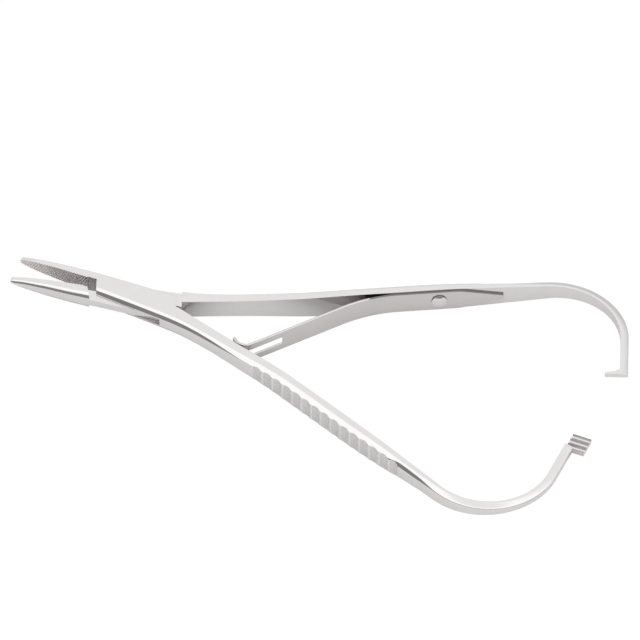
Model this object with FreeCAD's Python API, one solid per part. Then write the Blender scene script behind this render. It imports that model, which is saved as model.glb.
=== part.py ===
import FreeCAD, Part
import math
import os

from FreeCAD import Vector

# Spring-opened needle-holder pliers with a box joint, two bowed handles and a
# small ratchet catch where the handle ends meet.
#
# Frame: millimetres, +Z up. The pliers lie flat. The pivot axis is Z, and the
# origin is on that axis, on the underside of the joint. +X runs along the
# instrument from the pivot to the handle ends, so the jaws point along -X.
#
# Each arm is drawn in a closed frame: jaws shut, the instrument's centre line
# on X, the jaw on -Y and the handle on +Y. The tongue arm is used as drawn, the
# box arm is its mirror image, and each is then turned outwards by half the
# opening angle, because the spring holds the pliers open at rest.

# Overall sizes
JAW_REACH = 30.5
JOINT_HALF_LENGTH = 8.0
JOINT_HEIGHT = 5.0
JOINT_HALF_WIDTH = 3.45
JOINT_FRONT_HALF_WIDTH = 3.15
JOINT_REAR_HALF_WIDTH = 3.9
JOINT_ROUND = 1.6
JOINT_REAR_ROUND = 1.2
OPEN_ANGLE = 10.8

# Jaws: half width, height and edge round at the tip, and where they grow full
TIP_HALF_WIDTH = 1.35
TIP_HEIGHT = 1.1
TIP_ROUND = 0.45
JAW_MIDDLE_HEIGHT = 3.7
JAW_ROOT_HEIGHT = 4.6
JAW_GAP = 0.03

# Hatching on the jaws' inner faces, and the plain relief behind it
HATCH_PITCH = 0.95
HATCH_DEPTH = 0.24
HATCH_ANGLE_DEG = 40.0
HATCH_END_X = -13.3
RELIEF_DEPTH = 0.3

# Handles: the inner edge runs from the root to a bend, on to the corner where
# the end turns in, and down the end towards the other handle
ROOT_X = 13.0
ROOT_INNER_Y = 0.94
BEND_X = 38.0
BEND_INNER_Y = 7.8
BEND_RADIUS = 150.0
SHOULDER_SLOPE_DEG = 19.4
CORNER_RADIUS = 15.0
HOOK_END_X = 111.8
HOOK_END_Y = 3.8
HOOK_END_LEAN_DEG = 12.6
RATCHET_END_X = 106.9
RATCHET_END_Y = 0.4
RATCHET_END_LEAN_DEG = -1.4
ROOT_THICKNESS = 3.3
HANDLE_THICKNESS = 2.7
END_THICKNESS = 1.9
ROOT_HANDLE_HEIGHT = 4.8
HANDLE_HEIGHT = 6.3
END_HEIGHT = 2.4
HANDLE_ROUND = 1.0
END_ROUND = 0.6

# Box joint: the tongue between two cheeks, with slanted shoulders
TONGUE_HEIGHT = 1.75
SLOT_CLEARANCE = 0.06
SIDE_CLEARANCE = 0.25
SHOULDER_SLANT_DEG = 24.0
FRONT_EDGE_X = -11.1
REAR_EDGE_X = 9.0
FRONT_SHOULDER_GAP = 1.5
REAR_SHOULDER_GAP = 0.8
SLOT_END_X = 6.7
SLOT_DIAGONAL = 2.6
PIN_RADIUS = 1.5
PIN_CLEARANCE = 0.03

# Grip scallops on the outer side of each handle
SCALLOP_COUNT = 15
SCALLOP_PITCH = 3.07
SCALLOP_DEPTH = 0.3
SCALLOP_WIDTH_SHARE = 0.94
SCALLOP_START = 22.5

# Hook and ratchet: the hook's flat tip passes over the toothed plate
HOOK_TIP_LENGTH = 3.4
HOOK_TIP_WIDTH = 0.85
HOOK_FILLET = 1.2
LAP_LENGTH = 6.5
PLATE_REACH = 4.5
PLATE_LENGTH = 4.6
RATCHET_TEETH = 3
TOOTH_HEIGHT = 0.45
TOOTH_FACE_SHARE = 0.15
TOOTH_FLOOR_SHARE = 0.5
LAP_CLEARANCE = 0.06

# Leaf spring, its rivet and the peg that guides its forked tip
SPRING_THICKNESS = 0.8
SPRING_WIDTH = 5.6
SPRING_TAIL_LENGTH = 14.8
SPRING_TAPER = 10.0
SPRING_TAIL_WIDTH = 1.2
SPRING_LEAVE_LENGTH = 16.1
SPRING_LEAVE_RADIUS = 33.0
SPRING_LEG_TURN_DEG = 23.9
SPRING_TIP_RADIUS = 2.4
SPRING_FOOT_LENGTH = 2.6
SPRING_FOOT_GAP = 0.1
SPRING_CURL_DEG = 25.0
SPRING_CURL_LENGTH = 1.2
FORK_WIDTH = 2.1
FORK_LENGTH = 9.9
RIVET_X = 66.0
RIVET_RADIUS = 1.0
RIVET_HEAD_RADIUS = 1.75
RIVET_HEAD_HEIGHT = 0.7
PEG_RADIUS = 0.8
PEG_LENGTH = 1.9
PEG_SEAT = 1.6
PEG_DISTANCE = 14.0
PEG_FROM_FOOT = 1.8

# How far cutting tools run past what they cut, the spare metal on a handle's
# inside that they take off, and how finely lofts are stationed
PAST = 1.0
NOTCH_PROUD = 0.125
END_CLEAR = 25.0
INNER_MARGIN = 0.8
INNER_MARGIN_ROUND = 0.4
BOW_SHARE = 0.6
GRIP_STATIONS = 6
BOW_STATIONS = 22
ROUND_STEPS = 4
BISECTIONS = 40

UP = Vector(0, 0, 1)
ORIGIN = Vector(0, 0, 0)
HALF_OPEN = OPEN_ANGLE / 2
TALL = 2 * HANDLE_HEIGHT
JOINT_WIDE = 3 * JOINT_HALF_WIDTH
TONGUE_END_X = SLOT_END_X - 2 * SIDE_CLEARANCE
TONGUE_DIAGONAL = SLOT_DIAGONAL - SIDE_CLEARANCE


def mix(a, b, share):
    """Value a share of the way from a to b."""
    return a + (b - a) * share


class Route:
    """Straight runs in plan joined by tangent arcs, followed by arc length."""

    def __init__(self, corners, radii):
        self.spans = []
        start = corners[0]
        for before, corner, after, radius in zip(corners, corners[1:], corners[2:], radii):
            run_in = (corner - before).normalize()
            run_out = (after - corner).normalize()
            turn = math.atan2(run_in.x * run_out.y - run_in.y * run_out.x, run_in.dot(run_out))
            tangent = radius * math.tan(abs(turn) / 2)
            arc_start = corner - run_in * tangent
            self.add_run(start, arc_start)
            side = Vector(-run_in.y, run_in.x, 0) * math.copysign(radius, turn)
            self.spans.append((arc_start, run_in, radius * abs(turn), turn, arc_start + side))
            start = corner + run_out * tangent
        self.add_run(start, corners[-1])
        self.length = sum(span[2] for span in self.spans)

    def add_run(self, start, end):
        """Append a straight span."""
        self.spans.append((start, (end - start).normalize(), (end - start).Length, 0.0, None))

    def at(self, distance):
        """Point and unit direction at a distance from the start."""
        for span in self.spans:
            start, direction, length, turn, centre = span
            if distance <= length or span is self.spans[-1]:
                break
            distance -= length
        if centre is None:
            return start + direction * distance, direction
        spin = FreeCAD.Rotation(UP, math.degrees(turn) * distance / length)
        return centre + spin.multVec(start - centre), spin.multVec(direction)

    def edges(self):
        """The route as plan edges."""
        made = []
        for start, direction, length, turn, centre in self.spans:
            if centre is None:
                made.append(Part.makeLine(start, start + direction * length))
                continue
            half = FreeCAD.Rotation(UP, math.degrees(turn) / 2)
            full = FreeCAD.Rotation(UP, math.degrees(turn))
            middle = centre + half.multVec(start - centre)
            end = centre + full.multVec(start - centre)
            made.append(Part.Arc(start, middle, end).toShape())
        return made

    def distance_to_x(self, x):
        """Arc length to where a route that heads along +X reaches an x value."""
        low, high = 0.0, self.length
        for _ in range(BISECTIONS):
            middle = (low + high) / 2
            if self.at(middle)[0].x < x:
                low = middle
            else:
                high = middle
        return low


def outward_of(direction):
    """Plan direction a quarter turn to the left of a heading."""
    return Vector(-direction.y, direction.x, 0)


def prism(points, bottom, top):
    """Vertical prism on a plan polygon."""
    corners = [Vector(p.x, p.y, bottom) for p in points]
    face = Part.Face(Part.makePolygon(corners + corners[:1]))
    return face.extrude(Vector(0, 0, top - bottom))


def section(base, outward, low, high, height, low_round, high_round):
    """Upright section from low to high along outward, its rounds in short even steps."""
    half = height / 2
    corners = [
        (high - high_round, half - high_round, high_round, 0),
        (low + low_round, half - low_round, low_round, 90),
        (low + low_round, low_round - half, low_round, 180),
        (high - high_round, high_round - half, high_round, 270),
    ]
    points = []
    for along, up, radius, start_deg in corners:
        for step in range(ROUND_STEPS + 1):
            turn = math.radians(start_deg + 90 * step / ROUND_STEPS)
            out = outward * (along + radius * math.cos(turn))
            points.append(base + out + UP * (up + radius * math.sin(turn)))
    return Part.makePolygon(points + points[:1])


def loft(sections):
    """Solid through upright sections, straight from one to the next."""
    return Part.makeLoft(sections, True, True)


def handle_route(end_x, lean_deg, end_y):
    """Inner edge of a handle in plan, from the root to where its end stops."""
    root = Vector(ROOT_X, ROOT_INNER_Y, 0)
    bend = Vector(BEND_X, BEND_INNER_Y, 0)
    slope = math.tan(math.radians(SHOULDER_SLOPE_DEG))
    lean = math.tan(math.radians(lean_deg))
    corner_x = (end_x + lean * (end_y - bend.y + slope * bend.x)) / (1 + lean * slope)
    corner_y = bend.y + slope * (corner_x - bend.x)
    corner = Vector(corner_x, corner_y, 0)
    end = Vector(end_x, end_y, 0)
    return Route([root, bend, corner, end], [BEND_RADIUS, CORNER_RADIUS])


def profile_at(share, knots):
    """Value between (share, value) knots, straight from one to the next."""
    for (start, first), (end, last) in zip(knots, knots[1:]):
        if share <= end:
            return mix(first, last, (share - start) / (end - start))
    return knots[-1][1]


# Jaw half width, height and edge round by the share of its length from the joint
JAW_STATIONS = [0.2, 0.4, 0.6, 0.8, 0.92, 1.0]
JAW_WIDTH_KNOTS = [
    (0.0, JOINT_FRONT_HALF_WIDTH),
    (0.4, mix(TIP_HALF_WIDTH, JOINT_FRONT_HALF_WIDTH, 0.72)),
    (1.0, TIP_HALF_WIDTH),
]
JAW_HEIGHT_KNOTS = [
    (0.0, JOINT_HEIGHT),
    (0.2, JAW_ROOT_HEIGHT),
    (0.6, JAW_MIDDLE_HEIGHT),
    (0.85, mix(TIP_HEIGHT, JAW_MIDDLE_HEIGHT, 0.45)),
    (1.0, TIP_HEIGHT),
]
JAW_ROUND_KNOTS = [
    (0.0, JOINT_ROUND),
    (0.6, mix(TIP_ROUND, JOINT_ROUND, 0.5)),
    (1.0, TIP_ROUND),
]

# Handle thickness, height and edge round by the share of its length
THICKNESS_KNOTS = [
    (0.0, ROOT_THICKNESS),
    (0.1, mix(HANDLE_THICKNESS, ROOT_THICKNESS, 0.4)),
    (0.25, HANDLE_THICKNESS),
    (0.45, HANDLE_THICKNESS),
    (0.65, END_THICKNESS),
    (1.0, END_THICKNESS),
]
HEIGHT_KNOTS = [
    (0.0, ROOT_HANDLE_HEIGHT),
    (0.1, ROOT_HANDLE_HEIGHT),
    (0.27, HANDLE_HEIGHT),
    (0.5, HANDLE_HEIGHT),
    (0.64, mix(END_HEIGHT, HANDLE_HEIGHT, 0.55)),
    (0.77, mix(END_HEIGHT, HANDLE_HEIGHT, 0.15)),
    (0.86, END_HEIGHT),
    (1.0, END_HEIGHT),
]
ROUND_KNOTS = [
    (0.0, JOINT_REAR_ROUND),
    (0.2, HANDLE_ROUND),
    (0.6, HANDLE_ROUND),
    (0.85, END_ROUND),
    (1.0, END_ROUND),
]


def across_section(x, half_width, height, edge_round):
    """Full-width section of the closed instrument at an x station."""
    return section(Vector(x, 0, 0), Vector(0, 1, 0), -half_width, half_width, height, edge_round, edge_round)


def arm_blank(route):
    """Forged blank of one arm: both jaw halves wide, the joint and one handle."""
    joint_front = across_section(-JOINT_HALF_LENGTH, JOINT_FRONT_HALF_WIDTH, JOINT_HEIGHT, JOINT_ROUND)
    joint_rear = across_section(JOINT_HALF_LENGTH, JOINT_REAR_HALF_WIDTH, JOINT_HEIGHT, JOINT_REAR_ROUND)
    jaw_sections = [joint_front]
    for share in JAW_STATIONS:
        jaw_sections.append(across_section(
            -mix(JOINT_HALF_LENGTH, JAW_REACH, share),
            profile_at(share, JAW_WIDTH_KNOTS),
            profile_at(share, JAW_HEIGHT_KNOTS),
            profile_at(share, JAW_ROUND_KNOTS),
        ))
    joint = loft([
        joint_front,
        across_section(0, JOINT_HALF_WIDTH, JOINT_HEIGHT, JOINT_ROUND),
        joint_rear,
    ])
    grip = loft([joint_rear] + handle_sections(route, 0.0, BOW_SHARE, GRIP_STATIONS))
    bow = loft(handle_sections(route, BOW_SHARE, 1.0, BOW_STATIONS))
    return joint.fuse([loft(jaw_sections), grip, bow]).removeSplitter()


def handle_sections(route, first, last, count):
    """Sections of a handle between two shares of its length, a margin wide on the inside."""
    sections = []
    for index in range(count + 1):
        share = mix(first, last, index / count)
        point, direction = route.at(route.length * share)
        sections.append(section(
            point,
            outward_of(direction),
            -INNER_MARGIN,
            profile_at(share, THICKNESS_KNOTS),
            profile_at(share, HEIGHT_KNOTS),
            INNER_MARGIN_ROUND,
            profile_at(share, ROUND_KNOTS),
        ))
    return sections


def inner_face_cutter(shoulder, route):
    """Everything on the inner side of a handle, from a shoulder line to its end."""
    end, _ = route.at(route.length)
    corners = shoulder + [route.at(0)[0]]
    edges = [Part.makeLine(a, b) for a, b in zip(corners, corners[1:])]
    edges += route.edges()
    below = -2 * JOINT_WIDE
    closing = [end, Vector(end.x - END_CLEAR, end.y, 0), Vector(end.x - END_CLEAR, below, 0), shoulder[0]]
    edges += [Part.makeLine(a, b) for a, b in zip(closing, closing[1:])]
    face = Part.Face(Part.Wire(edges))
    face.translate(Vector(0, 0, -TALL))
    return face.extrude(Vector(0, 0, 2 * TALL))


def root_on_centre(route):
    """Where the handle's inner line, run back from its root, meets the centre line."""
    start, direction = route.at(0)
    return start + direction * ((JAW_GAP - start.y) / direction.y)


def hatched(arm, relief_end_x):
    """The arm with two crossing sets of grooves on its jaw, and the relief behind them."""
    relief_x = relief_end_x - HATCH_END_X
    relief_corner = Vector(HATCH_END_X, -JAW_GAP - RELIEF_DEPTH, -TALL)
    arm = arm.cut(Part.makeBox(relief_x, RELIEF_DEPTH + PAST, 2 * TALL, relief_corner))
    for side in (1, -1):
        turn = math.radians(side * HATCH_ANGLE_DEG)
        along = Vector(math.cos(turn), 0, math.sin(turn))
        across = Vector(-math.sin(turn), 0, math.cos(turn))
        reach = JAW_ROOT_HEIGHT / abs(along.z)
        step = HATCH_PITCH / abs(across.x)
        grooves = []
        for index in range(int((JAW_REACH + HATCH_END_X + JAW_ROOT_HEIGHT) / step)):
            middle = Vector(HATCH_END_X - index * step, -JAW_GAP, 0) - along * reach
            corners = [
                middle + across * (HATCH_PITCH / 2),
                middle - across * (HATCH_PITCH / 2),
                middle - Vector(0, HATCH_DEPTH, 0),
            ]
            face = Part.Face(Part.makePolygon(corners + corners[:1]))
            grooves.append(face.extrude(along * (2 * reach)))
        arm = arm.cut(grooves)
    return arm


def scallop_cutters(route):
    """Shallow upright rounds that cut the grip into a handle's outer side."""
    half_chord = SCALLOP_PITCH * SCALLOP_WIDTH_SHARE / 2
    radius = (half_chord ** 2 + SCALLOP_DEPTH ** 2) / (2 * SCALLOP_DEPTH)
    cutters = []
    for index in range(SCALLOP_COUNT):
        distance = SCALLOP_START + index * SCALLOP_PITCH
        point, direction = route.at(distance)
        reach = profile_at(distance / route.length, THICKNESS_KNOTS) - SCALLOP_DEPTH + radius
        centre = point + outward_of(direction) * reach - UP * TALL
        cutters.append(Part.makeCylinder(radius, 2 * TALL, centre, UP))
    return cutters


def box_arm(route):
    """Box arm in the closed frame, before it is mirrored and opened."""
    slant = math.tan(math.radians(SHOULDER_SLANT_DEG))
    arm = arm_blank(route)
    arm = arm.cut(prism([
        Vector(-2 * JAW_REACH, -JAW_GAP, 0),
        Vector(FRONT_EDGE_X, -JAW_GAP, 0),
        Vector(FRONT_EDGE_X + slant * JOINT_WIDE, JOINT_WIDE, 0),
        Vector(-2 * JAW_REACH, JOINT_WIDE, 0),
    ], -TALL, TALL))
    arm = arm.cut(inner_face_cutter([
        Vector(REAR_EDGE_X - slant * JOINT_WIDE, -JOINT_WIDE, 0),
        Vector(REAR_EDGE_X, JAW_GAP, 0),
        root_on_centre(route),
    ], route))
    slot = prism([
        Vector(-2 * JAW_REACH, JOINT_WIDE, 0),
        Vector(-2 * JAW_REACH, -JAW_GAP, 0),
        Vector(-SLOT_END_X - SLOT_DIAGONAL, -JAW_GAP, 0),
        Vector(-SLOT_END_X, -JAW_GAP - SLOT_DIAGONAL, 0),
        Vector(-SLOT_END_X, -JOINT_WIDE, 0),
        Vector(2 * JOINT_WIDE, -JOINT_WIDE, 0),
        Vector(SLOT_END_X + SLOT_DIAGONAL, JAW_GAP, 0),
        Vector(SLOT_END_X, JAW_GAP + SLOT_DIAGONAL, 0),
        Vector(SLOT_END_X, JOINT_WIDE, 0),
    ], -TONGUE_HEIGHT / 2 - SLOT_CLEARANCE, TONGUE_HEIGHT / 2 + SLOT_CLEARANCE)
    arm = arm.cut([slot, pin_cylinder(PIN_RADIUS)])
    arm = arm.cut(scallop_cutters(route))
    return add_ratchet(hatched(arm, FRONT_EDGE_X), route)


def add_ratchet(arm, route):
    """The plate at the box arm's end, in the lower half, with radial teeth on top."""
    end, direction = route.at(route.length)
    outward = outward_of(direction)
    top = -LAP_CLEARANCE
    bottom = -END_HEIGHT / 2
    inner_far = end + direction * PLATE_LENGTH
    outline = [
        end,
        inner_far,
        inner_far + outward * PLATE_REACH,
        end + outward * PLATE_REACH,
    ]
    plate = prism(outline, bottom, top)
    pitch = PLATE_LENGTH / RATCHET_TEETH
    notches = []
    for index in range(RATCHET_TEETH):
        crest = end + direction * (index * pitch) - outward * PAST
        low = Vector(crest.x, crest.y, top - TOOTH_HEIGHT)
        corners = [
            Vector(crest.x, crest.y, top + NOTCH_PROUD),
            low + direction * (pitch * TOOTH_FACE_SHARE),
            low + direction * (pitch * TOOTH_FLOOR_SHARE),
            Vector(crest.x, crest.y, top + NOTCH_PROUD) + direction * pitch,
        ]
        face = Part.Face(Part.makePolygon(corners + corners[:1]))
        notches.append(face.extrude(outward * (PLATE_REACH + 2 * PAST)))
    return arm.fuse(plate.cut(notches)).removeSplitter()


def tongue_arm(route):
    """Tongue arm in the closed frame, before it is opened."""
    slant = math.tan(math.radians(SHOULDER_SLANT_DEG))
    arm = arm_blank(route)
    arm = arm.cut(prism([
        Vector(-2 * JAW_REACH, -JAW_GAP, 0),
        Vector(-TONGUE_END_X - TONGUE_DIAGONAL, -JAW_GAP, 0),
        Vector(-TONGUE_END_X, TONGUE_DIAGONAL - JAW_GAP, 0),
        Vector(-TONGUE_END_X, JOINT_WIDE, 0),
        Vector(-2 * JAW_REACH, JOINT_WIDE, 0),
    ], -TALL, TALL))
    arm = arm.cut(inner_face_cutter([
        Vector(TONGUE_END_X, -JOINT_WIDE, 0),
        Vector(TONGUE_END_X, JAW_GAP - TONGUE_DIAGONAL, 0),
        Vector(TONGUE_END_X + TONGUE_DIAGONAL, JAW_GAP, 0),
        root_on_centre(route),
    ], route))
    front_x = FRONT_EDGE_X - FRONT_SHOULDER_GAP
    rear_x = REAR_EDGE_X + REAR_SHOULDER_GAP
    rear_slant = math.tan(math.radians(SHOULDER_SLANT_DEG - OPEN_ANGLE))
    waist = [
        Vector(front_x + slant * JOINT_WIDE, -JOINT_WIDE, 0),
        Vector(rear_x + rear_slant * JOINT_WIDE, -JOINT_WIDE, 0),
        Vector(rear_x - rear_slant * JOINT_WIDE, JOINT_WIDE, 0),
        Vector(front_x - slant * JOINT_WIDE, JOINT_WIDE, 0),
    ]
    arm = arm.cut([
        prism(waist, TONGUE_HEIGHT / 2, TALL),
        prism(waist, -TALL, -TONGUE_HEIGHT / 2),
        pin_cylinder(PIN_RADIUS + PIN_CLEARANCE),
    ])
    arm = arm.cut(scallop_cutters(route))
    return add_hook(hatched(arm, front_x), route)


def add_hook(arm, route):
    """Lap the tongue arm's end to its upper half and turn the hook inwards."""
    end, direction = route.at(route.length)
    outward = outward_of(direction)
    inner = end - outward * HOOK_TIP_LENGTH
    lap = [
        end - outward * PAST + direction * PAST,
        end + outward * (END_THICKNESS + PAST) + direction * PAST,
        end + outward * (END_THICKNESS + PAST) - direction * LAP_LENGTH,
        end - outward * PAST - direction * LAP_LENGTH,
    ]
    arm = arm.cut(prism(lap, -TALL, LAP_CLEARANCE))
    hook = prism([
        inner,
        inner - direction * HOOK_TIP_WIDTH,
        end - outward * HOOK_FILLET - direction * HOOK_TIP_WIDTH,
        end + outward * INNER_MARGIN - direction * (HOOK_TIP_WIDTH + HOOK_FILLET),
        end + outward * INNER_MARGIN,
    ], LAP_CLEARANCE, END_HEIGHT / 2)
    return arm.fuse(hook).removeSplitter()


def pin_cylinder(radius):
    """Upright cylinder through the joint on the pivot axis."""
    return Part.makeCylinder(radius, JOINT_HEIGHT, Vector(0, 0, -JOINT_HEIGHT / 2), UP)


def opened(shape, side):
    """A copy turned out by half the opening angle; side is 1 or -1."""
    turned = shape.copy()
    turned.rotate(ORIGIN, UP, side * HALF_OPEN)
    return turned


def mirrored(shape):
    """A copy mirrored across the instrument's centre line."""
    return shape.mirror(ORIGIN, Vector(0, 1, 0))


def opened_line(point, direction, side):
    """A closed-frame line at its place at rest, on the +Y side (1) or the -Y side (-1)."""
    turn = FreeCAD.Rotation(UP, side * HALF_OPEN)
    point = Vector(point.x, point.y * side, 0)
    direction = Vector(direction.x, direction.y * side, 0)
    return turn.multVec(point), turn.multVec(direction)


def crossing(point, direction, other_point, other_direction):
    """Where two plan lines cross."""
    normal = outward_of(other_direction)
    distance = (other_point - point).dot(normal) / direction.dot(normal)
    return point + direction * distance


def strip(route, thickness, width):
    """Upright strip of even thickness that follows a plan route."""
    left = offset_edges(route, thickness / 2)
    right = offset_edges(route, -thickness / 2)
    start_cap = Part.makeLine(right[0].Vertexes[0].Point, left[0].Vertexes[0].Point)
    end_cap = Part.makeLine(left[-1].Vertexes[-1].Point, right[-1].Vertexes[-1].Point)
    outline = Part.Wire(Part.__sortEdges__(left + [end_cap] + right + [start_cap]))
    blade = Part.Face(outline)
    blade.translate(UP * (-width / 2))
    return blade.extrude(UP * width)


def offset_edges(route, offset):
    """The route's edges moved sideways by an offset to the left."""
    made = []
    for start, direction, length, turn, centre in route.spans:
        if centre is None:
            shift = outward_of(direction) * offset
            made.append(Part.makeLine(start + shift, start + direction * length + shift))
            continue
        points = []
        for share in (0, 0.5, 1):
            spin = FreeCAD.Rotation(UP, math.degrees(turn) * share)
            heading = spin.multVec(direction)
            points.append(centre + spin.multVec(start - centre) + outward_of(heading) * offset)
        made.append(Part.Arc(*points).toShape())
    return made


class SpringLayout:
    """Where the leaf spring runs at rest, between the two handles."""

    def __init__(self, hook_route, ratchet_route):
        self.seat, self.along = opened_line(*hook_route.at(hook_route.distance_to_x(RIVET_X)), 1)
        self.seat_normal = -outward_of(self.along)
        offset = self.seat_normal * (SPRING_THICKNESS / 2)
        tail = self.seat + self.along * SPRING_TAIL_LENGTH + offset
        leave = self.seat - self.along * SPRING_LEAVE_LENGTH + offset
        leg = FreeCAD.Rotation(UP, SPRING_LEG_TURN_DEG).multVec(-self.along)
        wall, wall_along = opened_line(*ratchet_route.at(PEG_DISTANCE), -1)
        self.wall_normal = outward_of(wall_along)
        lifted = wall + self.wall_normal * (SPRING_FOOT_GAP + SPRING_THICKNESS / 2)
        foot = crossing(leave, leg, lifted, wall_along)
        self.peg_base = crossing(foot - wall_along * PEG_FROM_FOOT, self.wall_normal, wall, wall_along)
        tip_turn = foot - wall_along * SPRING_FOOT_LENGTH
        lift = FreeCAD.Rotation(UP, -SPRING_CURL_DEG).multVec(-wall_along)
        tip = tip_turn + lift * SPRING_CURL_LENGTH
        self.route = Route(
            [tail, leave, foot, tip_turn, tip],
            [SPRING_LEAVE_RADIUS, SPRING_TIP_RADIUS, SPRING_TIP_RADIUS],
        )
        self.fork_route = Route(
            [foot - leg * FORK_LENGTH, foot, tip_turn, tip + lift * PAST],
            [SPRING_TIP_RADIUS, SPRING_TIP_RADIUS],
        )
        self.tail = tail


def leaf_spring(layout):
    """Flat spring riveted inside the hook handle, forked where it meets the other."""
    spring = strip(layout.route, SPRING_THICKNESS, SPRING_WIDTH)
    fork = strip(layout.fork_route, SPRING_THICKNESS + 2 * PAST, FORK_WIDTH)
    cutters = [fork, rivet_shank(layout)]
    across = layout.seat_normal * (SPRING_THICKNESS + 2 * PAST)
    for side in (1, -1):
        corners = [
            layout.tail + layout.along * PAST + UP * (side * SPRING_TAIL_WIDTH / 2),
            layout.tail + UP * (side * SPRING_TAIL_WIDTH / 2),
            layout.tail - layout.along * SPRING_TAPER + UP * (side * SPRING_WIDTH / 2),
            layout.tail - layout.along * SPRING_TAPER + UP * (side * SPRING_WIDTH),
            layout.tail + layout.along * PAST + UP * (side * SPRING_WIDTH),
        ]
        corners = [corner - across / 2 for corner in corners]
        cutters.append(Part.Face(Part.makePolygon(corners + corners[:1])).extrude(across))
    return spring.cut(cutters)


def rivet_shank(layout):
    """Cylinder through the spring and the handle behind it."""
    start = layout.seat + layout.seat_normal * SPRING_THICKNESS
    return Part.makeCylinder(RIVET_RADIUS, 2 * HANDLE_THICKNESS, start, -layout.seat_normal)


def rivet_head(layout):
    """Domed head that stands on the spring, with the neck through the spring."""
    base = layout.seat + layout.seat_normal * SPRING_THICKNESS
    dome = (RIVET_HEAD_RADIUS ** 2 + RIVET_HEAD_HEIGHT ** 2) / (2 * RIVET_HEAD_HEIGHT)
    ball = Part.makeSphere(dome, base + layout.seat_normal * (RIVET_HEAD_HEIGHT - dome))
    disc = Part.makeCylinder(RIVET_HEAD_RADIUS, RIVET_HEAD_HEIGHT, base, layout.seat_normal)
    neck = Part.makeCylinder(RIVET_RADIUS, SPRING_THICKNESS, layout.seat, layout.seat_normal)
    return ball.common(disc).fuse(neck)


def guide_peg(layout):
    """Round peg on the box arm that keeps the spring's fork in line."""
    start = layout.peg_base - layout.wall_normal * PEG_SEAT
    return Part.makeCylinder(PEG_RADIUS, PEG_SEAT + PEG_LENGTH, start, layout.wall_normal)


def build():
    """Shape every piece in the shared frame."""
    hook_route = handle_route(HOOK_END_X, HOOK_END_LEAN_DEG, HOOK_END_Y)
    ratchet_route = handle_route(RATCHET_END_X, RATCHET_END_LEAN_DEG, RATCHET_END_Y)
    layout = SpringLayout(hook_route, ratchet_route)
    upper = opened(tongue_arm(hook_route), 1)
    lower = opened(mirrored(box_arm(ratchet_route)), -1)
    shank = rivet_shank(layout)
    rivet = rivet_head(layout).fuse(shank.common(upper)).removeSplitter()
    peg = guide_peg(layout)
    return {
        "tongue_arm": upper.cut(shank),
        "box_arm": lower.cut(peg),
        "pivot_pin": pin_cylinder(PIN_RADIUS),
        "leaf_spring": leaf_spring(layout),
        "spring_rivet": rivet,
        "spring_guide_peg": peg,
    }


os.makedirs("parts", exist_ok=True)
for name, shape in build().items():
    shape.translate(UP * (JOINT_HEIGHT / 2))
    shape.exportStep("parts/" + name + ".step")
    print(name, shape.isValid(), len(shape.Solids), round(shape.Volume, 2))
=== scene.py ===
"""Looks of spring-opened needle-holder pliers: two forged arms, a leaf spring and a catch.

The pieces' sizes are in millimetres, in each arm's closed frame: jaws shut, the centre line on X,
the jaw on -Y and the handle on +Y. An arm is built there, mirrored if its handle is on the near
side, turned out to its place at rest, and brought to metres. The finishes and the studio are in
metres.
"""

import logging
import math
from collections.abc import Iterable
from dataclasses import dataclass, field
from enum import Enum
from typing import NamedTuple

import bmesh
import bpy
from mathutils import Matrix, Vector

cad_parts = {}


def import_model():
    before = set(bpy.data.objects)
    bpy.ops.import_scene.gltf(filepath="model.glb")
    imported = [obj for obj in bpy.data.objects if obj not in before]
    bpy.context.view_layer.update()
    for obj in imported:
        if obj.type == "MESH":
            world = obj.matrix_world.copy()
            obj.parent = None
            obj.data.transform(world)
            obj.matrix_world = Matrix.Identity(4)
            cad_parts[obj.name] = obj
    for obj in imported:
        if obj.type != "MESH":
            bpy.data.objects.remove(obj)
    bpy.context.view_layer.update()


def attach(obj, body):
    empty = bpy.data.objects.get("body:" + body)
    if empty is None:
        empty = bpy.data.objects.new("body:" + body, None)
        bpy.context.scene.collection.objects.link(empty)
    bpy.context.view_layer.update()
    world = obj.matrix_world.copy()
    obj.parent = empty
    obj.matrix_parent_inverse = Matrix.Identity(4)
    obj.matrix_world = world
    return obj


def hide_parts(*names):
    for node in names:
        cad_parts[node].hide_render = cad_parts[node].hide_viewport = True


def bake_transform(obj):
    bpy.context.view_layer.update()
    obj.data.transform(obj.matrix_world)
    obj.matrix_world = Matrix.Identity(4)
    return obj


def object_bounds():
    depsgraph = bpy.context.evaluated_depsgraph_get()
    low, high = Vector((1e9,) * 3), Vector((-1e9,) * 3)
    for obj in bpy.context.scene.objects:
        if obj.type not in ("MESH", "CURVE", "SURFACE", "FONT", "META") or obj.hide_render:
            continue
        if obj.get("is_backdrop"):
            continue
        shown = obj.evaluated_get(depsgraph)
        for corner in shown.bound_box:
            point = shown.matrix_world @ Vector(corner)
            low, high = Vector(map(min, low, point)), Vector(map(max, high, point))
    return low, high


LOG = logging.getLogger("pliers")

# One millimetre in metres, and the directions of the closed frame
MM = 0.001
UP = Vector((0, 0, 1))
ACROSS = Vector((0, 1, 0))

# How far a cutter runs past what it cuts, and half the height of one that cuts right through
PAST = 1.0
CLEAR = 6.0

# The two bodies of the CAD part
BOX_SIDE = "box_side"
TONGUE_SIDE = "tongue_side"


class Side(Enum):
    """The side of the centre line that a handle is on."""

    FAR = 1
    NEAR = -1


class Join(Enum):
    """What a second solid does to the first."""

    CUT = "DIFFERENCE"
    ADD = "UNION"


class Fade(Enum):
    """How a shader value goes from one end of its range to the other."""

    EVEN = "LINEAR"
    SOFT = "SMOOTHSTEP"


def mix(a: float, b: float, share: float) -> float:
    """Value a share of the way from a to b."""
    return a + (b - a) * share


def outward_of(direction: Vector) -> Vector:
    """Plan direction a quarter turn to the left of a heading."""
    return Vector((-direction.y, direction.x, 0))


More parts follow.
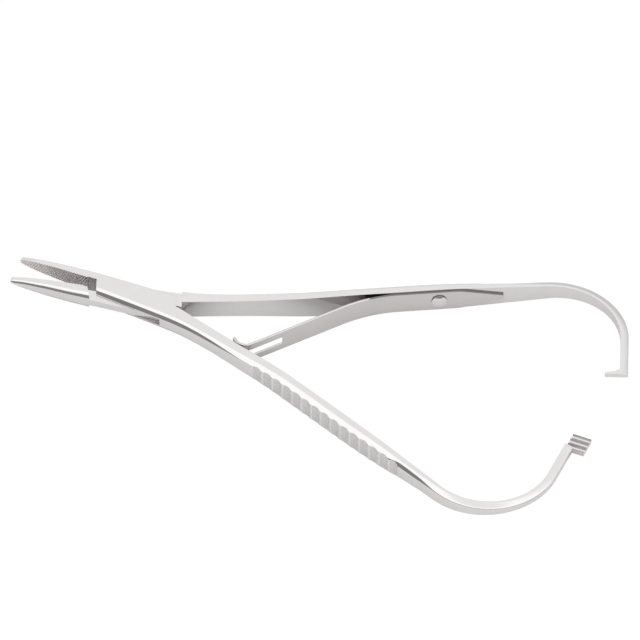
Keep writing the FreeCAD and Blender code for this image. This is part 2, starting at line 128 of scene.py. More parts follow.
@dataclass(frozen=True)
class Profile:
    """A size that changes along a piece.

    Attributes:
        knots: (share, value) pairs, straight from one to the next.
        blur: how far each side of a share the value is averaged, to round the knots off.
    """

    knots: tuple[tuple[float, float], ...]
    blur: float = 0.035

    def raw(self, share: float) -> float:
        """Value on the straight runs between the knots.

        Args:
            share: place along the piece, kept between 0 and 1.

        Returns:
            The value there.
        """
        share = min(max(share, 0.0), 1.0)
        for (start, first), (end, last) in zip(self.knots, self.knots[1:]):
            if share <= end:
                return mix(first, last, (share - start) / (end - start))
        return self.knots[-1][1]

    def at(self, share: float) -> float:
        """Value with the knots rounded off.

        Args:
            share: place along the piece, from 0 to 1.

        Returns:
            The average of the values up to the blur away.
        """
        reach = min(self.blur, share, 1.0 - share)
        steps = (-1.0, -0.5, 0.0, 0.5, 1.0)
        return sum(self.raw(share + reach * step) for step in steps) / len(steps)


class Span(NamedTuple):
    """A straight run or an arc of a route.

    Attributes:
        start: its first plan point.
        heading: the way it sets out, a unit vector.
        length: along it.
        turn: the arc's angle, positive to the left, and 0 for a straight run.
        centre: of the arc, or None for a straight run.
    """

    start: Vector
    heading: Vector
    length: float
    turn: float
    centre: Vector | None


class Route:
    """Straight runs in plan joined by tangent arcs, followed by arc length.

    Attributes:
        spans: its runs and arcs in order.
        length: the whole route's length.
    """

    HALVINGS = 40

    def __init__(self, corners: list[Vector], radii: list[float]) -> None:
        """Lay the route out.

        Args:
            corners: plan points, the first and last being the ends.
            radii: arc radius at each corner between.
        """
        self.spans: list[Span] = []
        start = corners[0]
        for before, corner, after, radius in zip(corners, corners[1:], corners[2:], radii):
            run_in = (corner - before).normalized()
            run_out = (after - corner).normalized()
            turn = math.atan2(run_in.x * run_out.y - run_in.y * run_out.x, run_in.dot(run_out))
            tangent = radius * math.tan(abs(turn) / 2)
            arc_start = corner - run_in * tangent
            self._add_run(start, arc_start)
            centre = arc_start + outward_of(run_in) * math.copysign(radius, turn)
            self.spans.append(Span(arc_start, run_in, radius * abs(turn), turn, centre))
            start = corner + run_out * tangent
        self._add_run(start, corners[-1])
        self.length = sum(span.length for span in self.spans)

    def _add_run(self, start: Vector, end: Vector) -> None:
        """Append a straight span."""
        self.spans.append(Span(start, (end - start).normalized(), (end - start).length, 0.0, None))

    def at(self, distance: float) -> tuple[Vector, Vector]:
        """Point and heading at a place on the route, which runs on straight past its ends.

        Args:
            distance: arc length from the start.

        Returns:
            The plan point and the unit heading there.
        """
        for span in self.spans:
            if distance <= span.length:
                break
            distance -= span.length
        else:
            distance += span.length
        if span.centre is None:
            return span.start + span.heading * distance, span.heading
        spin = Matrix.Rotation(span.turn * distance / span.length, 3, "Z")
        return span.centre + spin @ (span.start - span.centre), spin @ span.heading

    def points(self, step: float) -> list[Vector]:
        """Plan points along the route.

        Args:
            step: the most that two points on an arc may be apart.

        Returns:
            The points, the route's ends among them.
        """
        made = []
        passed = 0.0
        for span in self.spans:
            count = 1 if span.centre is None else max(2, math.ceil(span.length / step))
            made += [self.at(passed + span.length * index / count)[0] for index in range(count)]
            passed += span.length
        return made + [self.at(self.length)[0]]

    def distance_to_x(self, x: float) -> float:
        """Find where a route that heads along +X reaches an x value.

        Args:
            x: the value, between those of the route's ends.

        Returns:
            Arc length from the start.
        """
        low, high = 0.0, self.length
        for _ in range(self.HALVINGS):
            middle = (low + high) / 2
            if self.at(middle)[0].x < x:
                low = middle
            else:
                high = middle
        return low


def crossing(point: Vector, direction: Vector, other: Vector, other_direction: Vector) -> Vector:
    """Where two plan lines cross."""
    normal = outward_of(other_direction)
    return point + direction * ((other - point).dot(normal) / direction.dot(normal))


class Solid:
    """A closed mesh in millimetres that is cut and joined until it is a finished piece.

    Attributes:
        object: the scene object that holds the mesh.
    """

    # Flat sides of a turned piece, and how strongly large faces rule the shading
    TURNED_SIDES = 48
    SHADING_WEIGHT = 80
    # Solvers in the order they are tried, the least share of the volume that a cut may leave,
    # and how far rounding may take a sound result over its largest volume share or span
    SOLVERS = ("MANIFOLD", "EXACT", "FAST")
    LEAST_LEFT = 0.01
    SLIP = 0.001

    def __init__(self, name: str, mesh: bmesh.types.BMesh) -> None:
        """Keep a bmesh as an object, its faces turned outwards.

        Args:
            name: the object's name.
            mesh: what it is made of, which is used up.
        """
        bmesh.ops.recalc_face_normals(mesh, faces=mesh.faces)
        data = bpy.data.meshes.new(name)
        mesh.to_mesh(data)
        mesh.free()
        self.object = bpy.data.objects.new(name, data)
        bpy.context.scene.collection.objects.link(self.object)

    @classmethod
    def skinned(cls, name: str, rings: list[list[Vector]]) -> "Solid":
        """A solid through rings of points, closed at both ends.

        Its side faces are numbered ring by ring from each ring's first point on, the ends last.

        Args:
            name: the object's name.
            rings: the rings, whose points match one to one.

        Returns:
            The solid.
        """
        mesh = bmesh.new()
        rows = [[mesh.verts.new(point) for point in ring] for ring in rings]
        for row, following in zip(rows, rows[1:]):
            for index in range(len(row)):
                after = (index + 1) % len(row)
                mesh.faces.new((row[index], row[after], following[after], following[index]))
        mesh.faces.new(rows[0])
        mesh.faces.new(rows[-1])
        return cls(name, mesh)

    @classmethod
    def prism(cls, name: str, outline: list[Vector], bottom: float, top: float) -> "Solid":
        """An upright prism on a plan outline."""
        levels = [[Vector((p.x, p.y, level)) for p in outline] for level in (bottom, top)]
        return cls.skinned(name, levels)

    @classmethod
    def turned(cls, name: str, profile: list[tuple[float, float]], base: Vector, axis: Vector) -> "Solid":
        """A turned piece.

        Args:
            name: the object's name.
            profile: (radius, distance along the axis) pairs, the ends with a radius over 0.
            base: where the axis starts.
            axis: unit vector along it.

        Returns:
            The solid.
        """
        spin = axis.to_track_quat("Z", "Y").to_matrix()
        turns = [math.tau * index / cls.TURNED_SIDES for index in range(cls.TURNED_SIDES)]
        rings = [
            [base + spin @ Vector((radius * math.cos(turn), radius * math.sin(turn), rise)) for turn in turns]
            for radius, rise in profile
        ]
        return cls.skinned(name, rings)

    def coat(self, material: bpy.types.Material, only: Iterable[int] | None = None) -> "Solid":
        """Give faces a finish. A cutter leaves it on what it cuts.

        Args:
            material: the finish.
            only: numbers of the faces that get it, or None for every face.

        Returns:
            The solid itself.
        """
        data = self.object.data
        data.materials.append(material)
        for number in range(len(data.polygons)) if only is None else only:
            data.polygons[number].material_index = len(data.materials) - 1
        return self

    def volume(self) -> float:
        """Measure the solid.

        Returns:
            The volume inside the mesh.
        """
        mesh = bmesh.new()
        mesh.from_mesh(self.object.data)
        volume = mesh.calc_volume()
        mesh.free()
        return volume

    def span(self) -> float:
        """Length of the diagonal of the box round the mesh."""
        corners = [Vector(corner) for corner in self.object.bound_box]
        return (corners[6] - corners[0]).length

    def combine(self, other: "Solid", how: Join) -> "Solid":
        """Cut another solid away or add it.

        A result whose volume or length can't be right is dropped, and the next solver is tried.

        Args:
            other: the other solid, which is used up.
            how: whether it is cut away or added.

        Returns:
            The solid itself.

        Raises:
            RuntimeError: if no solver gives a sound result.
        """
        own, tool = self.volume(), other.volume()
        if how is Join.CUT:
            least, most, span = own - tool, own, self.span()
        else:
            least, most, span = max(own, tool), own + tool, self.span() + other.span()
        for solver in self.SOLVERS:
            modifier = self.object.modifiers.new("combine", "BOOLEAN")
            modifier.operation = how.value
            modifier.solver = solver
            modifier.object = other.object
            modifier.material_mode = "TRANSFER"
            made = self._evaluated()
            self.object.modifiers.clear()
            before, self.object.data = self.object.data, made
            sound = max(least, self.LEAST_LEFT * own) < self.volume() <= most + self.SLIP * own
            if sound and self.span() < span + self.SLIP:
                bpy.data.meshes.remove(before)
                other.discard()
                return self
            LOG.info("%s: %s solver failed on %s", self.object.name, solver, other.object.name)
            self.object.data = before
            bpy.data.meshes.remove(made)
        raise RuntimeError(f"{self.object.name} can't be combined with {other.object.name}")

    def _evaluated(self) -> bpy.types.Mesh:
        """Work the modifiers out.

        Returns:
            Their result as a plain mesh.
        """
        graph = bpy.context.evaluated_depsgraph_get()
        graph.update()
        return bpy.data.meshes.new_from_object(self.object.evaluated_get(graph))

    def settle(self) -> None:
        """Put the modifiers' result in the mesh's place and take the modifiers off."""
        made = self._evaluated()
        self.object.modifiers.clear()
        old, self.object.data = self.object.data, made
        bpy.data.meshes.remove(old)

    def discard(self) -> None:
        """Remove the solid."""
        data = self.object.data
        bpy.data.objects.remove(self.object)
        bpy.data.meshes.remove(data)

    def weld(self, distance: float = 0.0001) -> None:
        """Join points that the cuts left on top of each other.

        Args:
            distance: how far apart such points may be.
        """
        mesh = bmesh.new()
        mesh.from_mesh(self.object.data)
        bmesh.ops.remove_doubles(mesh, verts=mesh.verts, dist=distance)
        bmesh.ops.dissolve_degenerate(mesh, edges=mesh.edges, dist=distance)
        mesh.to_mesh(self.object.data)
        mesh.free()

    def move(self, matrix: Matrix) -> None:
        """Move every point, and keep the faces outwards if that mirrors them.

        Args:
            matrix: where the points go.
        """
        self.object.data.transform(matrix)
        if matrix.determinant() < 0:
            self.object.data.flip_normals()

    def finish(self, materials: list[bpy.types.Material], crease_deg: float = 24.0) -> bpy.types.Object:
        """Tidy the mesh, smooth it between its creases and dress it.

        Args:
            materials: what the piece is made of, the main one first.
            crease_deg: angle past which an edge stays sharp.

        Returns:
            The finished object, at the origin.
        """
        data = self.object.data
        # The cuts left slots in their own order, some of them empty, and those faces get the main one
        names = [slot.name if slot else "" for slot in data.materials]
        chosen = [material.name for material in materials]
        wanted = [chosen.index(name) if name in chosen else 0 for name in names] or [0]
        indices = [wanted[min(face.material_index, len(wanted) - 1)] for face in data.polygons]
        data.materials.clear()
        for material in materials:
            data.materials.append(material)
        data.polygons.foreach_set("material_index", indices)
        data.shade_smooth()
        data.set_sharp_from_angle(angle=math.radians(crease_deg))
        weighted = self.object.modifiers.new("even_shading", "WEIGHTED_NORMAL")
        weighted.mode = "FACE_AREA"
        weighted.keep_sharp = True
        weighted.weight = self.SHADING_WEIGHT
        self.settle()
        return self.object


@dataclass(frozen=True)
class Corner:
    """An eased edge: a wide bevel and a steep flank, with rounds before, between and after.

    Attributes:
        width: how far it reaches in from the side.
        flank: length of the steep part.
        soft: radius of the rounds as a share of the width.
        tilts: surface tilt in degrees where each of the five parts starts and ends.
        longest_flank: the most that the flank may be, as a share of the width.
    """

    width: float
    flank: float = 0.0
    soft: float = 0.2
    tilts: tuple[float, ...] = (0, 41, 47, 57, 64, 90)
    longest_flank: float = 1.4

    def curve(self, steps: int = 3) -> list[tuple[float, float]]:
        """Points down the edge, as distances in from the side and down from the face.

        Args:
            steps: straight steps in each part.

        Returns:
            The points, from the face to the side.
        """
        # The second of the five parts is the bevel and the fourth the flank; the rest are rounds
        radius = self.soft * self.width
        flank = min(self.flank, self.longest_flank * self.width)
        turns = [math.radians(tilt) for tilt in self.tilts]
        spent = flank * math.cos((turns[3] + turns[4]) / 2)
        for first, last in ((0, 1), (2, 3), (4, 5)):
            spent += radius * (math.sin(turns[last]) - math.sin(turns[first]))
        bevel = (self.width - spent) / math.cos((turns[1] + turns[2]) / 2)
        lengths = [radius * (end - start) for start, end in zip(turns, turns[1:])]
        lengths[1], lengths[3] = bevel, flank
        inset, drop = self.width, 0.0
        points = [(inset, drop)]
        for length, start, end in zip(lengths, turns, turns[1:]):
            for step in range(steps):
                tilt = mix(start, end, (step + 0.5) / steps)
                inset -= length / steps * math.cos(tilt)
                drop += length / steps * math.sin(tilt)
                points.append((inset, drop))
        return points


def section(
    base: Vector,
    outward: Vector,
    reach: tuple[float, float],
    height: float,
    corners: tuple[Corner, Corner],
) -> list[Vector]:
    """Ring of points of an upright section with eased corners.

    Args:
        base: plan point that the section is measured from.
        outward: unit plan vector along which it reaches.
        reach: how far the section starts and ends along outward.
        height: full height, half above and half below base.
        corners: form of the corners at the start and at the end of the reach.

    Returns:
        The points in order round the section.
    """
    low, high = reach
    start, end = (corner.curve() for corner in corners)
    half = height / 2
    flat = [(high - inset, half - drop) for inset, drop in reversed(end)]
    flat += [(low + inset, half - drop) for inset, drop in start]
    flat += [(low + inset, drop - half) for inset, drop in reversed(start)]
    flat += [(high - inset, drop - half) for inset, drop in end]
    return [base + outward * along + UP * up for along, up in flat]


class Tree:
    """A Geometry Nodes tree that places copies of one form, with named inputs.

    Attributes:
        group: the node group.
        inputs: identifier of each named input.
        source: the node that the inputs come from.
        result: the node that takes the geometry.
    """

    def __init__(self, name: str) -> None:
        """Start an empty tree that takes and gives geometry.

        Args:
            name: the node group's name.
        """
        self.group = bpy.data.node_groups.new(name, "GeometryNodeTree")
        self.inputs: dict[str, str] = {}
        self.source = self.group.nodes.new("NodeGroupInput")
        self.result = self.group.nodes.new("NodeGroupOutput")
        self.add_input("Geometry", "NodeSocketGeometry")
        self.group.interface.new_socket(name="Geometry", in_out="OUTPUT", socket_type="NodeSocketGeometry")

    def add_input(self, name: str, kind: str) -> None:
        """Give the tree a named input."""
        socket = self.group.interface.new_socket(name=name, in_out="INPUT", socket_type=kind)
        self.inputs[name] = socket.identifier

    def node(self, kind: str, **links: object) -> bpy.types.Node:
        """Add a node and set its inputs.

        Args:
            kind: the node's type.
            links: a socket to link, a tree input's name or a plain value for each input.

        Returns:
            The node.
        """
        node = self.group.nodes.new(kind)
        for name, value in links.items():
            socket = node.inputs[name.replace("_", " ")]
            if isinstance(value, bpy.types.NodeSocket):
                self.group.links.new(value, socket)
            elif isinstance(value, str):
                self.group.links.new(self.source.outputs[value], socket)
            else:
                socket.default_value = value
        return node

    def close(self, instances: bpy.types.NodeSocket) -> None:
        """End the tree in real geometry with its material.

        Args:
            instances: the copies.
        """
        self.add_input("Material", "NodeSocketMaterial")
        real = self.node("GeometryNodeRealizeInstances", Geometry=instances)
        dressed = self.node("GeometryNodeSetMaterial", Geometry=real.outputs[0], Material="Material")
        self.group.links.new(dressed.outputs[0], self.result.inputs[0])

    def grow(self, name: str, seed: bmesh.types.BMesh, values: dict[str, object]) -> Solid:
        """Run the tree.

        Args:
            name: the new solid's name.
            seed: geometry that the tree starts from.
            values: a value for each named input.

        Returns:
            The plain mesh that the tree made.
        """
        made = Solid(name, seed)
        modifier = made.object.modifiers.new(name, "NODES")
        modifier.node_group = self.group
        for key, value in values.items():
            modifier[self.inputs[key]] = value
        made.settle()
        return made


def path_tree(sides: int = 160) -> Tree:
    """Upright rounds spaced evenly along a path.

    Args:
        sides: flat sides of each round.

    Returns:
        The tree, with the inputs Count, Radius and Height.
    """
    tree = Tree("rounds_along_path")
    tree.add_input("Count", "NodeSocketInt")
    for name in ("Radius", "Height"):
        tree.add_input(name, "NodeSocketFloat")
    curve = tree.node("GeometryNodeMeshToCurve", Mesh="Geometry")
    places = tree.node("GeometryNodeResampleCurve", Curve=curve.outputs[0], Count="Count")
    form = tree.node("GeometryNodeMeshCylinder", Vertices=sides, Radius="Radius", Depth="Height")
    copies = tree.node("GeometryNodeInstanceOnPoints", Points=places.outputs[0], Instance=form.outputs[0])
    tree.close(copies.outputs[0])
    return tree


def groove_tree() -> Tree:
    """Three-sided bars in a row, each an even step from the last.

    Returns:
        The tree, with the inputs Count, Start, Step, Turn and Size.
    """
    tree = Tree("bars_in_a_row")
    tree.add_input("Count", "NodeSocketInt")
    for name in ("Start", "Step", "Turn", "Size"):
        tree.add_input(name, "NodeSocketVector")
    row = tree.node("GeometryNodeMeshLine", Count="Count", Start_Location="Start", Offset="Step")
    form = tree.node("GeometryNodeMeshCylinder", Vertices=3, Radius=1.0, Depth=1.0)
    copies = tree.node(
        "GeometryNodeInstanceOnPoints",
        Points=row.outputs[0],
        Instance=form.outputs[0],
        Rotation="Turn",
        Scale="Size",
    )
    tree.close(copies.outputs[0])
    return tree


@dataclass
class Grooves:
    """V grooves in a row, cut with three-sided bars.

    Attributes:
        tree: the tree that places the bars.
        width: of a groove at the surface.
        depth: of a groove.
        length: of a groove.
        proud: how far a bar stands out of the surface that it cuts.
    """

    BAR_WIDTH = math.sqrt(3)
    BAR_DEPTH = 1.5
    BAR_MIDDLE = 1 / 3

    tree: Tree
    width: float
    depth: float
    length: float
    proud: float = 0.02

    def solid(
        self,
        first: Vector,
        step: Vector,
        along: Vector,
        inward: Vector,
        count: int,
        material: bpy.types.Material,
    ) -> Solid:
        """The bars that cut the grooves.

        A bar of radius 1 has an even-sided triangle as its section, BAR_WIDTH wide and BAR_DEPTH
        deep, with its middle BAR_MIDDLE of the depth under the flat side.

        Args:
            first: middle of the first groove, on the surface.
            step: from one groove to the next.
            along: unit vector along a groove.
            inward: unit vector into the metal.
            count: number of grooves.
            material: finish that the cut faces get.

        Returns:
            The bars as one solid.
        """
        depth = self.depth + self.proud
        across = along.cross(inward)
        turn = Matrix((inward, across, along)).transposed().to_euler()
        values = {
            "Count": count,
            "Start": first + inward * (depth * self.BAR_MIDDLE - self.proud),
            "Step": step,
            "Turn": Vector(turn),
            "Size": Vector((depth / self.BAR_DEPTH, self.width / self.BAR_WIDTH, self.length)),
            "Material": material,
        }
        return self.tree.grow("grooves", bmesh.new(), values)


def remap(
    tree: bpy.types.NodeTree,
    value: bpy.types.NodeSocket,
    source: tuple[float, float],
    target: tuple[float, float],
    fade: Fade = Fade.EVEN,
) -> bpy.types.NodeSocket:
    """Bring a shader value from one range to another and keep it inside.

    Args:
        tree: the material's or the world's node tree.
        value: the value.
        source: the range that it comes from.
        target: what the ends of that range become.
        fade: the way between them.

    Returns:
        The new value.
    """
    ramp = tree.nodes.new("ShaderNodeMapRange")
    ramp.interpolation_type = fade.value
    for name, limit in zip(("From Min", "From Max", "To Min", "To Max"), (*source, *target)):
        ramp.inputs[name].default_value = limit
    tree.links.new(value, ramp.inputs["Value"])
    return ramp.outputs[0]


def product(
    tree: bpy.types.NodeTree, first: bpy.types.NodeSocket, second: bpy.types.NodeSocket | float
) -> bpy.types.NodeSocket:
    """Multiply a shader value.

    Args:
        tree: the material's or the world's node tree.
        first: the value.
        second: another value, or a plain number.

    Returns:
        The result.
    """
    node = tree.nodes.new("ShaderNodeMath")
    node.operation = "MULTIPLY"
    tree.links.new(first, node.inputs[0])
    if isinstance(second, bpy.types.NodeSocket):
        tree.links.new(second, node.inputs[1])
    else:
        node.inputs[1].default_value = second
    return node.outputs[0]


@dataclass(frozen=True)
class Steel:
    """A bright steel finish.

    Attributes:
        name: the material's name.
        colour: reflectance.
        gloss: roughness where the surface is brightest and where it is dullest.
        brush: strength of the fine lines left by polishing.
        brush_pitch: lines per metre across them.
        brush_detail: how fine the lines get.
        brush_depth: their depth in metres at full strength.
        stretch: how much each axis is drawn out, which sets the way the lines run.
        wave: strength of the slow unevenness of a hand-polished face.
        wave_pitch: waves per metre.
        wave_depth: their depth in metres at full strength.
        cloud_pitch: cloudy patches per metre.
        cloud_detail: how fine the patches get.
        cloud_range: part of the noise that goes from the brightest to the dullest patch.
        cloud_tones: how the colour changes from one to the other.
        edge: radius over which the shading rounds the edges off, and so the width of their painted highlight,
            in metres.
        edge_samples: rays that look for an edge.
        highlight_turn: cosine of the turn at which the painted edge highlight starts, and at which it is
            full.
        painted_edge_highlight: how far the painted highlight takes an edge towards white.
    """

    name: str
    colour: tuple[float, float, float]
    gloss: tuple[float, float] = (0.07, 0.14)
    brush: float = 0.03
    brush_pitch: float = 9000.0
    brush_detail: float = 3.0
    brush_depth: float = 0.00005
    stretch: tuple[float, float, float] = (0.04, 1.0, 1.0)
    wave: float = 0.05
    wave_pitch: float = 260.0
    wave_depth: float = 0.0004
    cloud_pitch: float = 160.0
    cloud_detail: float = 4.0
    cloud_range: tuple[float, float] = (0.3, 0.7)
    cloud_tones: tuple[float, float] = (0.95, 1.03)
    edge: float = 0.00007
    edge_samples: int = 4
    highlight_turn: tuple[float, float] = (1.0, 0.98)
    painted_edge_highlight: float = 0.25

    def material(self) -> bpy.types.Material:
        """Build the material from object coordinates.

        Returns:
            The material.
        """
        material = bpy.data.materials.new(self.name)
        material.use_nodes = True
        tree = material.node_tree
        nodes, links = tree.nodes, tree.links
        shader = nodes["Principled BSDF"]
        shader.inputs["Metallic"].default_value = 1.0
        place = nodes.new("ShaderNodeTexCoord").outputs["Object"]
        drawn = nodes.new("ShaderNodeMapping")
        drawn.inputs["Scale"].default_value = self.stretch
        links.new(place, drawn.inputs["Vector"])
        lines = self._noise(tree, drawn.outputs[0], self.brush_pitch, self.brush_detail)
        clouds = self._noise(tree, place, self.cloud_pitch, self.cloud_detail)
        waves = self._noise(tree, place, self.wave_pitch)
        links.new(remap(tree, clouds, self.cloud_range, self.gloss), shader.inputs["Roughness"])
        rounded = nodes.new("ShaderNodeBevel")
        rounded.samples = self.edge_samples
        rounded.inputs["Radius"].default_value = self.edge
        normal = rounded.outputs[0]
        for height, strength, depth in (
            (waves, self.wave, self.wave_depth),
            (lines, self.brush, self.brush_depth),
        ):
            bump = nodes.new("ShaderNodeBump")
            bump.inputs["Strength"].default_value = strength
            bump.inputs["Distance"].default_value = depth
            links.new(normal, bump.inputs["Normal"])
            links.new(height, bump.inputs["Height"])
            normal = bump.outputs[0]
        links.new(normal, shader.inputs["Normal"])
        links.new(self._tone(tree, clouds, rounded.outputs[0]), shader.inputs["Base Color"])
        return material

    def _tone(
        self, tree: bpy.types.NodeTree, clouds: bpy.types.NodeSocket, rounded: bpy.types.NodeSocket
    ) -> bpy.types.NodeSocket:
        """Make the colour: a faint cloudiness, and a painted highlight that lightens the edges.

        Args:
            tree: the material's node tree.
            clouds: the cloudy patches' noise.
            rounded: the surface's direction with its edges rounded off.

        Returns:
            The colour.
        """
        plain = tree.nodes.new("ShaderNodeMix")
        plain.data_type = "RGBA"
        for name, level in zip(("A", "B"), self.cloud_tones):
            tone = [min(part * level, 1.0) for part in self.colour]
            self._socket(plain.inputs, name).default_value = (*tone, 1.0)
        tree.links.new(clouds, plain.inputs["Factor"])
        bare = tree.nodes.new("ShaderNodeNewGeometry").outputs["Normal"]
        along = tree.nodes.new("ShaderNodeVectorMath")
        along.operation = "DOT_PRODUCT"
        tree.links.new(bare, along.inputs[0])
        tree.links.new(rounded, along.inputs[1])
        # Painted highlight: the base colour goes towards white where the rounded shading normal turns away
        # from the true one, at the edges.
        edge_highlight = remap(tree, along.outputs["Value"], self.highlight_turn, (0.0, self.painted_edge_highlight))
        mixed = tree.nodes.new("ShaderNodeMix")
        mixed.data_type = "RGBA"
        tree.links.new(edge_highlight, mixed.inputs["Factor"])
        tree.links.new(self._socket(plain.outputs, "Result"), self._socket(mixed.inputs, "A"))
        self._socket(mixed.inputs, "B").default_value = (1.0, 1.0, 1.0, 1.0)
        return self._socket(mixed.outputs, "Result")

    @staticmethod
    def _socket(sockets: Iterable[bpy.types.NodeSocket], name: str) -> bpy.types.NodeSocket:
        """The colour socket of a name among a mix node's sockets."""
        return next(socket for socket in sockets if socket.name == name and socket.type == "RGBA")

    @staticmethod
    def _noise(
        tree: bpy.types.NodeTree, vector: bpy.types.NodeSocket, scale: float, detail: float = 0.0
    ) -> bpy.types.NodeSocket:
        """Make a noise.

        Args:
            tree: the material's node tree.
            vector: where it is read.
            scale: its patches per metre.
            detail: how fine they get.

        Returns:
            The noise's value.
        """
        noise = tree.nodes.new("ShaderNodeTexNoise")
        noise.inputs["Scale"].default_value = scale
        noise.inputs["Detail"].default_value = detail
        tree.links.new(vector, noise.inputs["Vector"])
        return noise.outputs["Fac"]


# Most finishes paint a highlight on their edges that lightens them towards white; on the ground finish the
# scallops' ridges go all the way to white.
POLISHED = Steel("polished_steel", (0.80, 0.777, 0.777))
GROUND = Steel(
    "ground_steel",
    (0.71, 0.69, 0.688),
    gloss=(0.2, 0.32),
    brush=0.2,
    stretch=(1.0, 1.0, 0.06),
    edge=0.0004,
    painted_edge_highlight=1.0,
)
HATCHED = Steel("hatched_steel", (0.76, 0.715, 0.705), gloss=(0.25, 0.4), painted_edge_highlight=0.4)
SPRING = Steel("spring_steel", (0.69, 0.665, 0.665), gloss=(0.15, 0.26), brush=0.08)
# Dark finish that paints shade: on the spring's edges that lie on the handle, and on the rivet's rim.
PAINTED_SHADE_EDGE = Steel("painted_shade_edge", (0.22, 0.21, 0.21), gloss=(0.3, 0.4), painted_edge_highlight=0.0)
# Rough like an unpolished cut face, with a dark colour that paints shade in the joint's recesses and on the
# teeth's steep faces.
ROUGH_SHADED = Steel("rough_shaded_steel", (0.42, 0.4, 0.4), gloss=(0.3, 0.4), painted_edge_highlight=0.1)


@dataclass(frozen=True)
class JointForm:
    """The box joint: a tongue between two cheeks, with slanted shoulders.

    Attributes:
        half_length: from the pivot to either end of the joint.
        height: across both cheeks.
        half_width: from the centre line to either side, from front to rear.
        edge_width: of the eased edges, from front to rear.
        flank: steep part of those edges.
        stations: even steps along the joint.
        open_angle: degrees between the arms' closed and open places.
        tongue_height: of the tongue between the cheeks.
        slot_clearance: between the tongue and each cheek.
        side_clearance: between the tongue and the slot's sides.
        slant_deg: lean of the shoulders from the Y direction.
        front_edge_x: where the front shoulder meets the centre line.
        rear_edge_x: where the rear shoulder meets it.
        front_gap: between the arms' front shoulders.
        rear_gap: between their rear shoulders.
        slot_end_x: from the pivot to either end of the slot.
        slot_diagonal: how far the bevel at a slot's end reaches each way.
        pin_radius: of the pivot pin and its bore.
        wide: how far a cutter reaches across from the centre line.
    """

    half_length: float = 8.0
    height: float = 5.0
    half_width: Profile = Profile(((0.0, 3.2), (0.5, 3.6), (1.0, 4.0)), 0.1)
    edge_width: Profile = Profile(((0.0, 1.1), (0.5, 1.1), (1.0, 1.05)), 0.1)
    flank: Profile = Profile(((0.0, 1.05), (0.6, 1.05), (1.0, 1.0)), 0.1)
    stations: int = 12
    open_angle: float = 10.8
    tongue_height: float = 1.75
    slot_clearance: float = 0.06
    side_clearance: float = 0.25
    slant_deg: float = 24.0
    front_edge_x: float = -11.1
    rear_edge_x: float = 9.0
    front_gap: float = 1.5
    rear_gap: float = 0.8
    slot_end_x: float = 6.7
    slot_diagonal: float = 2.6
    pin_radius: float = 1.5
    wide: float = 10.35

    @property
    def slant(self) -> float:
        """How far a shoulder moves along X for each millimetre across."""
        return math.tan(math.radians(self.slant_deg))


@dataclass(frozen=True)
class JawForm:
    """One half of the jaws, with its hatched inner face.

    Attributes:
        reach: from the pivot to the jaw's tip.
        gap: from the centre line to the inner face.
        tip_round_off: radius of the tip's edge.
        tip_steps: steps round that edge.
        least_edge: narrowest eased edge there.
        stations: even steps along the jaw.
        hatch_pitch: from one groove to the next.
        hatch_depth: of a groove.
        hatch_angle_deg: lean of the grooves from the X direction.
        hatch_end_x: where the hatching ends at the joint.
        cross_from_x: where the second set of grooves starts.
        cross_to_x: where the second set ends.
        land: width left between two grooves.
        relief_depth: of the plain face behind the hatching.
        deepest: height of the highest hatched part.
        half_width: from the centre line to the side, from the joint to the tip.
        height: of the jaw, from the joint to the tip.
        edge_width: of the eased edges, from the joint to the tip.
        flank: steep part of those edges.
    """

    reach: float = 30.5
    gap: float = 0.03
    tip_round_off: float = 0.35
    tip_steps: int = 4
    least_edge: float = 0.05
    stations: int = 34
    hatch_pitch: float = 0.57
    hatch_depth: float = 0.17
    hatch_angle_deg: float = 60.0
    hatch_end_x: float = -13.3
    cross_from_x: float = -14.9
    cross_to_x: float = -23.5
    land: float = 0.17
    relief_depth: float = 0.3
    deepest: float = 4.6
    half_width: Profile = Profile(((0.0, 3.2), (0.4, 2.646), (1.0, 1.35)))
    height: Profile = Profile(((0.0, 5.0), (0.2, 4.6), (0.6, 3.7), (0.85, 2.53), (1.0, 1.1)))
    edge_width: Profile = Profile(((0.0, 1.1), (0.12, 0.98), (0.3, 0.88), (0.6, 0.72), (1.0, 0.42)))
    flank: Profile = Profile(((0.0, 1.0), (0.12, 0.85), (0.5, 0.68), (1.0, 0.45)))

    def section_at(self, x: float, share: float, inset: float = 0.0) -> list[Vector]:
        """Ring of points across both jaw halves.

        Args:
            x: where the ring stands.
            share: place from the joint to the tip that gives its sizes.
            inset: how much smaller it is all round.

        Returns:
            The points in order round the section.
        """
        half = self.half_width.at(share) - inset
        width = self.edge_width.at(share) - inset
        edge = Corner(max(width, self.least_edge), self.flank.at(share))
        height = self.height.at(share) - 2 * inset
        return section(Vector((x, 0, 0)), ACROSS, (-half, half), height, (edge, edge))


@dataclass(frozen=True)
class HandleEnd:
    """The end of a handle's inner edge.

    Attributes:
        x: its place along the pliers.
        y: its place across them.
        lean_deg: how far the last run leans from the Y direction.
    """

    x: float
    y: float
    lean_deg: float


PLATE_END = HandleEnd(106.9, 0.4, -1.4)
HOOK_END = HandleEnd(111.8, 3.8, 12.6)


